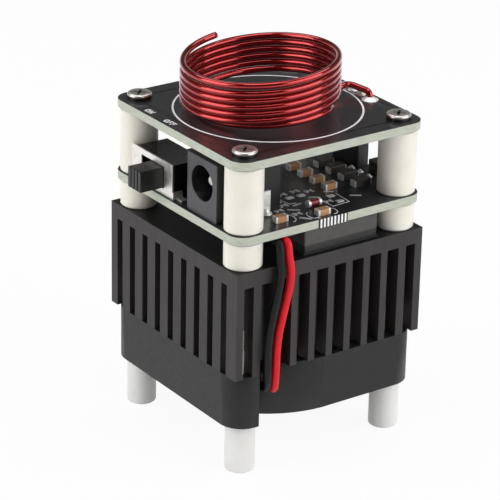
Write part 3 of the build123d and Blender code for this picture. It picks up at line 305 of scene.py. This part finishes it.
MATERIALS = {
    "board": make_board("board", 0.3, 0.4, 0.5),
    "control_board": make_board("control_board_mask", 0.35, 0.5, 0.3),
    "enamel": make_enamel(),
    "heatsink": make_heatsink(),
    "nylon": make_nylon("nylon", (0.89, 0.86, 0.77)),
    "nylon_foot": make_nylon("nylon_foot", (0.86, 0.855, 0.84)),
    "fan": moulded("fan_plastic", (0.013, 0.013, 0.0135), 0.42, Specular_IOR_Level=0.35),
    "mould": moulded("moulded_epoxy", (0.085, 0.074, 0.066), 0.40, 9000.0, 0.00001),
    "mould_dark": moulded("moulded_epoxy_dark", (0.010, 0.0095, 0.0095), 0.45),
    "package": make_package(),
    "switch": moulded("switch_plastic", (0.007, 0.007, 0.0075), 0.26),
    "handle": moulded("handle_plastic", (0.009, 0.009, 0.009), 0.36),
    "jack": make_jack(),
    "ceramic": moulded("ceramic", (0.56, 0.30, 0.15), 0.35, 9000.0, 0.00001),
    "glass": make_glass(),
    "lead_red": make_sleeve("lead_red", (0.70, 0.004, 0.014), 0.42),
    "lead_black": make_sleeve("lead_black", (0.003, 0.003, 0.0035), 0.55),
    "screw": make_screw(),
    "tin": plated("tin", (0.86, 0.86, 0.84), 0.3),
    "plate": plated("plate_steel", (0.90, 0.875, 0.85), 0.46, (1, 1, 1), 1500.0, 0.0),
    "copper": plated("winding_copper", (0.55, 0.22, 0.09), 0.3),
    "bronze": plated("sleeve_bronze", (0.50, 0.33, 0.16), 0.4),
    "steel": plated("ground_steel", (0.62, 0.62, 0.63), 0.2, (1, 1, 10)),
    "magnet": moulded("magnet", (0.05, 0.045, 0.04), 0.6),
    "pad": moulded("thermal_pad", (0.020, 0.020, 0.021), 0.8),
    "silk": moulded("silk", (0.86, 0.86, 0.88), 0.5, 9000.0, 0.0, 0.05),
    "silk_dim": moulded("silk_dim", (0.62, 0.63, 0.64), 0.5, 9000.0, 0.0, 0.08),
    "solder": moulded("solder", (0.93, 0.93, 0.92), 0.3, 2000.0, 0.00001, 0.05, Metallic=0.4),
    "label": moulded("label_paper", (0.72, 0.72, 0.70), 0.6),
    "saw_burr": moulded("saw_burr", (0.30, 0.29, 0.28), 0.45),
}


def paint(thing, key):
    thing.data.materials.clear()
    thing.data.materials.append(MATERIALS[key].material)


# ================================================================ mesh helpers
def add_mesh(name, build, key, smooth=True):
    """Makes a piece from a function that fills a bmesh, in millimetres."""
    mesh = bpy.data.meshes.new(name)
    shape = bmesh.new()
    build(shape)
    bmesh.ops.remove_doubles(shape, verts=shape.verts, dist=0.0005)
    bmesh.ops.recalc_face_normals(shape, faces=shape.faces)
    bmesh.ops.scale(shape, vec=(MM, MM, MM), verts=shape.verts)
    shape.to_mesh(mesh)
    shape.free()
    piece = bpy.data.objects.new(name, mesh)
    bpy.context.scene.collection.objects.link(piece)
    for polygon in mesh.polygons:
        polygon.use_smooth = smooth
    paint(piece, key)
    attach(piece, BASE)
    return piece


def ring_of(shape, centre, side, up, radius, count):
    """A ring of vertices about a point, in the plane of two directions."""
    ring = []
    for i in range(count):
        turn = 2 * math.pi * i / count
        ring.append(shape.verts.new(centre + (side * math.cos(turn) + up * math.sin(turn)) * radius))
    return ring


def bridge(shape, first, second):
    count = len(first)
    for i in range(count):
        j = (i + 1) % count
        shape.faces.new((first[i], first[j], second[j], second[i]))


def tube(shape, points, radius, count, rounded=0.25):
    """A round tube along a line of points, with slightly rounded ends."""
    points = [Vector(p) for p in points]
    side = None
    rings = []
    for i, point in enumerate(points):
        ahead = points[min(i + 1, len(points) - 1)]
        behind = points[max(i - 1, 0)]
        along = (ahead - behind).normalized()
        if side is None:
            side = along.orthogonal().normalized()
        side = (side - along * side.dot(along)).normalized()
        up = along.cross(side)
        if i in (0, len(points) - 1) and rounded:
            outward = -along if i == 0 else along
            tip = ring_of(shape, point, side, up, radius * (1 - rounded), count)
            body = ring_of(shape, point - outward * radius * rounded, side, up, radius, count)
            rings += [tip, body] if i == 0 else [body, tip]
        else:
            rings.append(ring_of(shape, point, side, up, radius, count))
    for first, second in zip(rings, rings[1:]):
        bridge(shape, first, second)
    shape.faces.new(rings[0])
    shape.faces.new(rings[-1])


def lathe(shape, profile, centre, count=48):
    """Turns a profile of (radius, height) about an upright axis through a centre."""
    up_axis = Vector((0, 0, 1))
    side = up_axis.orthogonal().normalized()
    across = up_axis.cross(side)
    previous = None
    for radius, height in profile:
        middle = Vector(centre) + up_axis * height
        if radius < 1e-6:
            ring = [shape.verts.new(middle)]
        else:
            ring = ring_of(shape, middle, side, across, radius, count)
        if previous is not None:
            if len(ring) == 1 or len(previous) == 1:
                hub, rim = (ring[0], previous) if len(ring) == 1 else (previous[0], ring)
                for i in range(count):
                    shape.faces.new((hub, rim[i], rim[(i + 1) % count]))
            else:
                bridge(shape, previous, ring)
        previous = ring


def rounded_box(shape, low, high, radius, segments=2):
    """A box between two corners with rounded edges."""
    before = set(shape.verts)
    low, high = Vector(low), Vector(high)
    made = bmesh.ops.create_cube(shape, size=1.0)["verts"]
    size = high - low
    bmesh.ops.scale(shape, vec=size, verts=made)
    bmesh.ops.translate(shape, vec=(low + high) / 2, verts=made)
    new = [v for v in shape.verts if v not in before]
    edges = {e for v in new for e in v.link_edges}
    if radius > 0:
        bmesh.ops.bevel(
            shape, geom=list(edges), offset=radius, segments=segments, profile=0.5, affect="EDGES"
        )


def soften(name, width, segments=2, angle=40.0):
    """Rounds a CAD node's sharp edges as it shows, without changing its mesh."""
    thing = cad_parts[name]
    weld = thing.modifiers.new("weld", "WELD")
    weld.merge_threshold = 0.000002
    bevel = thing.modifiers.new("bevel", "BEVEL")
    bevel.width = width * MM
    bevel.segments = segments
    bevel.limit_method = "ANGLE"
    bevel.angle_limit = math.radians(angle)
    bevel.harden_normals = True
    bevel.use_clamp_overlap = True


# ================================================================ coil and its lead
COIL_WIRE = 1.2
COIL_PITCH = 1.25
COIL_RADIUS = 13.66
COIL_CENTRE = Vector((-1.0, 1.1))
COIL_TOP = 9.4
COIL_TOP_ANGLE = 94.2
COIL_SWEEP = 2365.8
COIL_TILT = 1.25
COIL_TILT_ANGLE = -25.0
COIL_TIP_LIFT = 0.55
COIL_TIP_SPRING = 300.0
COIL_TIP_STRAIGHT = 0.9
COIL_TUCK = 1.8
COIL_TUCK_RISE = 0.3
COIL_TUCK_SWEEP = 272.0
COIL_STEP = 4.0
COIL_EXIT_RUN = 6.5
COIL_LEAD = [(16.85, 0.35, 1.45), (17.8, -6.3, 1.6), (17.8, -6.3, -1.9)]
COIL_BENDS = [8.0, 0.95, 1.1]


def coil_point(swept):
    """The wire's centre line, swept degrees on from its free tip."""
    turn = COIL_TOP_ANGLE + swept
    spring = max(0.0, 1 - swept / COIL_TIP_SPRING)
    along = (swept - COIL_SWEEP) / COIL_TUCK_SWEEP + 1
    tuck = math.sin(math.pi * along) ** 2 if 0 < along < 1 else 0.0
    lean = COIL_TILT * math.cos(math.radians(turn - COIL_TILT_ANGLE))
    radius = COIL_RADIUS - COIL_TUCK * tuck
    return Vector((
        COIL_CENTRE.x + radius * math.cos(math.radians(turn)),
        COIL_CENTRE.y + radius * math.sin(math.radians(turn)),
        top_face + COIL_TOP - COIL_PITCH * swept / 360 + lean
        + COIL_TIP_LIFT * spring**2 + COIL_TUCK_RISE * tuck,
    ))


def filleted(points, radii, steps=10):
    """A line of points through corners that are rounded to their radii."""
    points = [Vector(p) for p in points]
    line = [points[0]]
    for i, radius in enumerate(radii, start=1):
        corner = points[i]
        back = (points[i - 1] - corner).normalized()
        ahead = (points[i + 1] - corner).normalized()
        half = back.angle(ahead) / 2
        reach = radius / math.tan(half)
        middle = corner + (back + ahead).normalized() * (radius / math.sin(half))
        start = corner + back * reach
        end = corner + ahead * reach
        for step in range(steps + 1):
            share = step / steps
            chord = (start - middle).slerp(end - middle, share)
            line.append(middle + chord)
    line.append(points[-1])
    return line


def make_coil():
    steps = int(COIL_SWEEP / COIL_STEP)
    line = [coil_point(COIL_STEP * i) for i in range(steps)] + [coil_point(COIL_SWEEP)]
    tip = line[0] + (line[0] - line[1]).normalized() * COIL_TIP_STRAIGHT
    leaving = (coil_point(COIL_SWEEP) - coil_point(COIL_SWEEP - 1)).normalized()
    lead = [line[-1], line[-1] + leaving * COIL_EXIT_RUN]
    lead += [Vector((x, y, top_face + z)) for x, y, z in COIL_LEAD]
    line = [tip] + line + filleted(lead, COIL_BENDS)[1:]
    coil = add_mesh(
        "coil_winding", lambda s: tube(s, line, COIL_WIRE / 2, 24), "enamel"
    )
    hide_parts("primary_coil")


make_coil()

# ================================================================ fan leads
LEAD_DIAMETER = 1.45
UNDER_BOARD = 43.75
OVER_MOTOR = 18.35
LEAD_ROUTES = {
    "red": [
        (-9.75, -14.5, UNDER_BOARD),
        (-9.85, -19.6, UNDER_BOARD),
        (-9.95, -20.6, UNDER_BOARD - 0.25),
        (-9.95, -20.9, 41.6),
        (-9.5, -21.4, 37.4),
        (-10.75, -21.05, 31.4),
        (-11.95, -20.9, 26.1),
        (-12.1, -20.85, 19.1),
        (-11.4, -19.7, 15.5),
        (-10.95, -17.6, 15.5),
        (-10.95, -17.6, OVER_MOTOR),
        (-3.18, -7.24, OVER_MOTOR),
    ],
    "black": [
        (-11.5, -14.5, UNDER_BOARD),
        (-11.5, -19.6, UNDER_BOARD),
        (-11.6, -20.6, UNDER_BOARD - 0.25),
        (-11.7, -20.9, 41.4),
        (-11.7, -21.3, 37.5),
        (-12.95, -20.95, 31.1),
        (-13.95, -20.85, 25.3),
        (-13.75, -20.85, 19.3),
        (-12.9, -19.5, 15.9),
        (-12.5, -16.65, 15.9),
        (-12.5, -16.65, OVER_MOTOR),
        (-4.75, -6.31, OVER_MOTOR),
    ],
}


def make_lead(colour, points):
    """A lead as a smooth round tube with its route's points as control points."""
    data = bpy.data.curves.new(f"lead_{colour}", "CURVE")
    data.dimensions = "3D"
    spline = data.splines.new("NURBS")
    spline.points.add(len(points) - 1)
    for point, place in zip(spline.points, points):
        point.co = (*mm(*place), 1.0)
    spline.order_u = 3
    spline.use_endpoint_u = True
    spline.resolution_u = 16
    spline.use_smooth = True
    data.bevel_depth = LEAD_DIAMETER / 2 * MM
    data.bevel_resolution = 8
    data.use_fill_caps = True
    lead = bpy.data.objects.new(f"lead_{colour}", data)
    bpy.context.scene.collection.objects.link(lead)
    paint(lead, f"lead_{colour}")
    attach(lead, BASE)
    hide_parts(f"fan_lead_{colour}")


for lead_colour, lead_points in LEAD_ROUTES.items():
    make_lead(lead_colour, lead_points)

# ================================================================ printing, pads and solder
PRINT = 0.03
RUN_STEP = 0.003
LETTER_LINE = 0.24
OUTLINE_LINE = 0.17
CORNER_LINE = 0.16
MARK_WIDTH = 0.5
PAD_HEIGHT = 0.06
HEADER_ROWS = (-3.14, -0.6, 1.94)
SMALL_PARTS = [
    (-6.6, -13.1), (-4.6, -11.6), (-6.7, -11.2), (-4.7, -9.7), (-6.9, -9.2), (-4.8, -7.7),
    (-6.9, -7.2), (-1.9, -7.4), (0.9, -7.3), (-4.7, -15.9), (3.1, -8.6), (3.2, -14.2),
]
SAW_LOW = 20.6
SAW_HIGH = 29.0
SAW_PITCH = 0.3


def prism(shape, outline, low, high):
    """A flat solid over an outline of (x, y) points."""
    under = [shape.verts.new((x, y, low)) for x, y in outline]
    over = [shape.verts.new((x, y, high)) for x, y in outline]
    bridge(shape, under, over)
    shape.faces.new(under)
    shape.faces.new(over)


def ribbon(shape, points, width, low, high):
    """A printed line of one width through (x, y) points, each run a hair over the last."""
    for i, (first, second) in enumerate(zip(points, points[1:])):
        first, second = Vector(first), Vector(second)
        along = (second - first).normalized() * (width / 2)
        side = Vector((-along.y, along.x))
        outline = [
            first - along + side, first - along - side, second + along - side, second + along + side
        ]
        prism(shape, [tuple(corner) for corner in outline], low, high + RUN_STEP * i)


def band(shape, centre, inner, outer, low, high, count=160):
    """A flat ring about a centre."""
    profile = [(inner, low), (outer, low), (outer, high), (inner, high), (inner, low)]
    lathe(shape, profile, (*centre, 0), count)


def fillet_cone(shape, centre, low, foot, tip, height):
    """Solder drawn up round a pin: wide at the pad, concave towards the tip."""
    profile = [(0, low), (foot, low), (foot, low + PAD_HEIGHT)]
    for i in range(1, 6):
        share = i / 5
        radius = tip + (foot - tip) * (1 - share) ** 2
        profile.append((radius, low + PAD_HEIGHT + (height - PAD_HEIGHT) * share))
    profile.append((0, low + height))
    lathe(shape, profile, (*centre, 0), 28)


def dome(shape, centre, low, wide, deep, height):
    """A rounded lump of solder on an oblong pad."""
    rounded_box(
        shape,
        (centre[0] - wide / 2, centre[1] - deep / 2, low),
        (centre[0] + wide / 2, centre[1] + deep / 2, low + height),
        min(wide, deep, 2 * height) * 0.45,
        3,
    )


HOUR = math.pi / 6
LETTERS = {
    "O": [[(0.5 + 0.5 * math.cos(t * HOUR), 0.5 + 0.5 * math.sin(t * HOUR)) for t in range(13)]],
    "N": [[(0, 0), (0, 1), (1, 0), (1, 1)]],
    "F": [[(0, 0), (0, 1), (1, 1)], [(0, 0.52), (0.8, 0.52)]],
}


def word(shape, text, base, height, wide, gap):
    """Letters that read along -Y with their tops towards +X."""
    for i, letter in enumerate(text):
        for strokes in LETTERS[letter]:
            points = [
                (base[0] + v * height, base[1] - i * (wide + gap) - u * wide) for u, v in strokes
            ]
            ribbon(shape, points, LETTER_LINE, top_face, top_face + PRINT)


def top_print(shape):
    band(shape, (0, 0), 16.62, 16.98, top_face, top_face + PRINT)
    word(shape, "ON", (-19.15, 10.4), 1.0, 0.72, 0.4)
    word(shape, "OFF", (-19.2, 4.3), 1.0, 0.66, 0.36)


def top_pads(shape):
    band(shape, (17.8, -6.3), 0.62, 1.5, top_face, top_face + PAD_HEIGHT, 48)
    for y in HEADER_ROWS:
        fillet_cone(shape, (18.2, y), top_face, 0.95, 0.45, 0.75)


def control_print(shape):
    low, high = control_top, control_top + PRINT
    lines = [
        [(2.51, -13.0), (2.6, -16.4), (6.25, -16.17), (6.5, -12.1)],
        [
            (-6.9, -15.5), (-6.05, -15.6), (-5.98, -16.7),
            (-6.3, -17.81), (-7.0, -18.41), (-7.3, -18.45),
        ],
        [
            (0.75, -16.6), (1.82, -16.87), (2.14, -17.6),
            (1.86, -18.76), (1.2, -19.3), (0.75, -19.3),
        ],
        [
            (-2.9, -16.27), (-3.4, -16.75), (-3.68, -17.63),
            (-3.66, -18.48), (-3.24, -19.07), (-2.4, -19.2),
        ],
        [(-3.56, -9.16), (-3.49, -10.56), (-3.15, -11.58), (-2.0, -11.77)],
    ]
    for points in lines:
        ribbon(shape, points, OUTLINE_LINE, low, high)


def control_marks(shape):
    """Short bare strips of print between the parts."""
    low, high = control_top, control_top + PRINT
    marks = [
        ((-4.9, -13.6), (-3.5, -14.6)),
        ((-3.0, -12.6), (-1.6, -12.4)),
        ((1.5, -11.0), (2.9, -11.6)),
        ((8.3, -14.1), (9.6, -14.9)),
        ((-5.2, -17.6), (-4.1, -18.9)),
        ((5.4, -10.2), (6.5, -10.9)),
    ]
    for points in marks:
        ribbon(shape, points, MARK_WIDTH, low, high)


def small_outlines(shape):
    """Printed corners round the smallest parts' places."""
    low, high = control_top, control_top + PRINT
    for x, y in SMALL_PARTS:
        for side in (-1, 1):
            edge = x + side * 0.75
            back = x + side * 0.45
            corner = [(back, y - 0.5), (edge, y - 0.5), (edge, y + 0.5), (back, y + 0.5)]
            ribbon(shape, corner, CORNER_LINE, low, high)


def small_pads(shape):
    """Tinned pads at the smallest parts' places."""
    for x, y in SMALL_PARTS:
        for side in (-1, 1):
            dome(shape, (x + side * 0.32, y), control_top, 0.4, 0.6, 0.14)


def control_pads(shape):
    for place in ((-1.75, -9.5), (0.6, -9.65), (4.9, -12.6), (4.9, -15.3)):
        dome(shape, place, control_top, 1.5, 0.95, 0.22)
    fillet_cone(shape, (-9.2, -12.85), control_top, 1.15, 0.5, 1.0)
    for y in HEADER_ROWS:
        fillet_cone(shape, (16.3, y - 5.5), control_top, 0.7, 0.25, 0.5)


def contact_gaps(shape):
    """A near-black strip over the board's front edge between the edge contacts."""
    contacts = [low_mm("edge_contacts"), high_mm("edge_contacts")]
    front = low_mm("control_board").y
    rounded_box(
        shape,
        (contacts[0].x - 0.35, front - 0.04, control_bottom + 0.02),
        (contacts[1].x + 0.35, front + 0.2, control_top + 0.015),
        0.01,
        1,
    )


def saw_marks(shape):
    """Burrs that the saw left down one edge of the heatsink's front corner."""
    front = low_mm("heatsink").y
    edge = low_mm("heatsink").x + 1.55
    height = SAW_LOW
    while height < SAW_HIGH:
        size = 0.10 + 0.03 * math.sin(height * 5.3)
        rounded_box(
            shape,
            (edge - 0.16, front - 0.01, height),
            (edge + size, front + 0.14, height + 0.16),
            0.02,
            1,
        )
        height += SAW_PITCH


add_mesh("top_print", top_print, "silk", smooth=False)
add_mesh("top_pads", top_pads, "solder")
add_mesh("control_print", control_print, "silk", smooth=False)
add_mesh("control_marks", control_marks, "silk_dim", smooth=False)
add_mesh("control_pads", control_pads, "solder")
add_mesh("small_outlines", small_outlines, "silk", smooth=False)
add_mesh("small_pads", small_pads, "solder")
add_mesh("contact_gaps", contact_gaps, "mould_dark", smooth=False)
add_mesh("saw_marks", saw_marks, "saw_burr", smooth=False)

# ================================================================ plain paint for the CAD nodes
NODE_PAINT = {
    "top_board": "board",
    "control_board": "control_board",
    "coil_joint": "solder",
    "secondary_socket": "tin",
    "heatsink": "heatsink",
    "fan_frame": "fan",
    "fan_bearing": "bronze",
    "fan_stator": "steel",
    "fan_windings": "copper",
    "fan_motor_board": "board",
    "fan_label": "label",
    "fan_rotor": "fan",
    "fan_magnet": "magnet",
    "fan_shaft": "steel",
    "fan_clip": "nylon",
    "thermal_pad": "pad",
    "power_tab": "steel",
    "power_package": "package",
    "power_legs": "tin",
    "switch_body": "switch",
    "switch_plate": "plate",
    "switch_contacts": "tin",
    "switch_handle": "handle",
    "switch_wiper": "plate",
    "jack_housing": "jack",
    "jack_pin": "plate",
    "jack_spring": "plate",
    "jack_terminals": "solder",
    "header_socket": "mould_dark",
    "header_plug": "mould_dark",
    "header_pins": "tin",
    "capacitor_bodies": "ceramic",
    "capacitor_ends": "solder",
    "glass_diode": "glass",
    "glass_diode_ends": "solder",
    "rectifier_bodies": "mould",
    "rectifier_leads": "solder",
    "choke_bead": "mould_dark",
    "edge_contacts": "solder",
}
for number in range(1, 5):
    NODE_PAINT[f"board_screw_{number}"] = "screw"
    NODE_PAINT[f"upper_spacer_{number}"] = "nylon"
    NODE_PAINT[f"lower_spacer_{number}"] = "nylon"
    NODE_PAINT[f"foot_{number}"] = "nylon_foot"
for node, key in NODE_PAINT.items():
    paint(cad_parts[node], key)

SOFT_EDGES = {
    "top_board": 0.1,
    "control_board": 0.1,
    "heatsink": 0.1,
    "fan_frame": 0.15,
    "power_package": 0.12,
    "switch_body": 0.1,
    "switch_plate": 0.08,
    "switch_handle": 0.12,
    "jack_housing": 0.18,
    "header_socket": 0.06,
    "header_plug": 0.06,
    "capacitor_bodies": 0.05,
    "capacitor_ends": 0.08,
    "rectifier_bodies": 0.04,
    "choke_bead": 0.1,
}
for node, width in SOFT_EDGES.items():
    soften(node, width)
for number in range(1, 5):
    soften(f"board_screw_{number}", 0.05)
    soften(f"foot_{number}", 0.08, 2, 60.0)


# ================================================================ camera, light and floor
CAMERA_AT = (-0.252159, -0.350445, 0.220080)
CAMERA_RIGHT = (0.81986968, -0.57224094, 0.01881536)
CAMERA_UP = (0.21416448, 0.33698640, 0.91682809)
CAMERA_BACK = (-0.53098709, -0.74764997, 0.39883861)
CAMERA_LENS = 188.06


def make_camera():
    data = bpy.data.cameras.new("camera")
    data.lens = CAMERA_LENS
    data.sensor_width = 36.0
    data.clip_start = 0.01
    data.clip_end = 10.0
    camera = bpy.data.objects.new("camera", data)
    bpy.context.scene.collection.objects.link(camera)
    columns = Matrix((CAMERA_RIGHT, CAMERA_UP, CAMERA_BACK)).transposed()
    camera.matrix_world = Matrix.Translation(CAMERA_AT) @ columns.to_4x4()
    bpy.context.scene.camera = camera


FLOOR_GLOW = 0.93
FLOOR_REACH = 1.5
ROOM_LIGHT = 0.22
LIGHTS = {
    "left_box": (165.0, 25.0, 0.6, (0.46, 0.5), 2.0),
    "right_box": (299.0, 25.0, 0.6, (0.62, 0.5), 2.3),
    "top_box": (230.0, 82.0, 0.7, (0.4, 0.4), 1.3),
    "back_box_right": (10.0, 55.0, 0.7, (0.35, 0.35), 0.7),
    "back_box_left": (100.0, 55.0, 0.7, (0.35, 0.35), 0.7),
}


def make_light(name, azimuth, elevation, distance, size, power):
    """A soft box that faces the middle of the part from an azimuth and an elevation."""
    data = bpy.data.lights.new(name, "AREA")
    data.shape = "RECTANGLE"
    data.size, data.size_y = size
    data.energy = power
    light = bpy.data.objects.new(name, data)
    bpy.context.scene.collection.objects.link(light)
    turn, rise = math.radians(azimuth), math.radians(elevation)
    toward = Vector((
        math.cos(turn) * math.cos(rise), math.sin(turn) * math.cos(rise), math.sin(rise)
    ))
    light.location = mm(0, 0, 40) + toward * distance
    light.rotation_mode = "QUATERNION"
    light.rotation_quaternion = toward.to_track_quat("Z", "Y")


def socket(sockets, name):
    return [s for s in sockets if s.name == name and s.enabled][0]


def make_world():
    """White past the part; a reflection sees white low down and a dim room higher up."""
    world = bpy.data.worlds.new("studio")
    bpy.context.scene.world = world
    world.use_nodes = True
    tree = world.node_tree
    background = tree.nodes["Background"]
    background.inputs["Color"].default_value = (1, 1, 1, 1)

    def node(kind, **values):
        made = tree.nodes.new(kind)
        for name, value in values.items():
            setattr(made, name, value)
        return made

    def ramp(source, stops):
        made = node("ShaderNodeValToRGB")
        elements = made.color_ramp.elements
        while len(elements) < len(stops):
            elements.new(0.5)
        for element, (place, value) in zip(elements, stops):
            element.position = place
            element.color = (value, value, value, 1)
        tree.links.new(source, made.inputs["Fac"])
        return made.outputs["Color"]

    def math_node(operation, first, second):
        made = node("ShaderNodeMath", operation=operation)
        for socket_in, value in zip(made.inputs, (first, second)):
            if hasattr(value, "is_output"):
                tree.links.new(value, socket_in)
            else:
                socket_in.default_value = value
        return made.outputs["Value"]

    direction = node("ShaderNodeTexCoord").outputs["Generated"]
    split = node("ShaderNodeSeparateXYZ")
    tree.links.new(direction, split.inputs["Vector"])
    height = ramp(split.outputs["Z"], [(0.0, 1.0), (0.12, 0.5), (0.3, 0.08), (0.6, 0.06), (1.0, 0.2)])
    front = node("ShaderNodeVectorMath", operation="DOT_PRODUCT")
    tree.links.new(direction, front.inputs[0])
    front.inputs[1].default_value = (-0.588, -0.809, 0.0)
    side = ramp(front.outputs["Value"], [(0.2, 1.0), (0.65, 0.22)])
    room = math_node("MULTIPLY", height, side)
    path = node("ShaderNodeLightPath")
    mirrored = math_node("MAXIMUM", path.outputs["Is Glossy Ray"], path.outputs["Is Transmission Ray"])
    dim = node("ShaderNodeMix")
    dim.inputs["A"].default_value = ROOM_LIGHT
    tree.links.new(mirrored, dim.inputs["Factor"])
    tree.links.new(room, socket(dim.inputs, "B"))
    seen = node("ShaderNodeMix")
    tree.links.new(path.outputs["Is Camera Ray"], seen.inputs["Factor"])
    tree.links.new(socket(dim.outputs, "Result"), socket(seen.inputs, "A"))
    socket(seen.inputs, "B").default_value = 1.0
    tree.links.new(socket(seen.outputs, "Result"), background.inputs["Strength"])


def make_floor():
    mesh = bpy.data.meshes.new("floor")
    shape = bmesh.new()
    bmesh.ops.create_grid(shape, x_segments=1, y_segments=1, size=FLOOR_REACH)
    shape.to_mesh(mesh)
    shape.free()
    floor = bpy.data.objects.new("floor", mesh)
    bpy.context.scene.collection.objects.link(floor)
    shader = Shader("floor", (0.86, 0.86, 0.86), 0.9)
    tree = shader.tree
    glow = shader.node("ShaderNodeEmission")
    glow.inputs["Color"].default_value = (1, 1, 1, 1)
    seen = shader.node("ShaderNodeLightPath")
    mirrored = shader.node("ShaderNodeMath", operation="MAXIMUM")
    shader.link(seen.outputs["Is Glossy Ray"], mirrored.inputs[0])
    shader.link(seen.outputs["Is Transmission Ray"], mirrored.inputs[1])
    white = shader.node("ShaderNodeMath", operation="MAXIMUM")
    shader.link(seen.outputs["Is Camera Ray"], white.inputs[0])
    shader.link(mirrored.outputs["Value"], white.inputs[1])
    share = shader.node("ShaderNodeMath", operation="MULTIPLY")
    share.inputs[1].default_value = FLOOR_GLOW
    shader.link(white.outputs["Value"], share.inputs[0])
    both = shader.node("ShaderNodeMixShader")
    shader.link(share.outputs["Value"], both.inputs["Fac"])
    shader.link(shader.principled.outputs["BSDF"], both.inputs[1])
    shader.link(glow.outputs["Emission"], both.inputs[2])
    shader.link(both.outputs["Shader"], tree.nodes["Material Output"].inputs["Surface"])
    mesh.materials.append(shader.material)


make_camera()
for light_name, light_values in LIGHTS.items():
    make_light(light_name, *light_values)
make_world()
make_floor()
bpy.context.scene.view_settings.view_transform = "Standard"
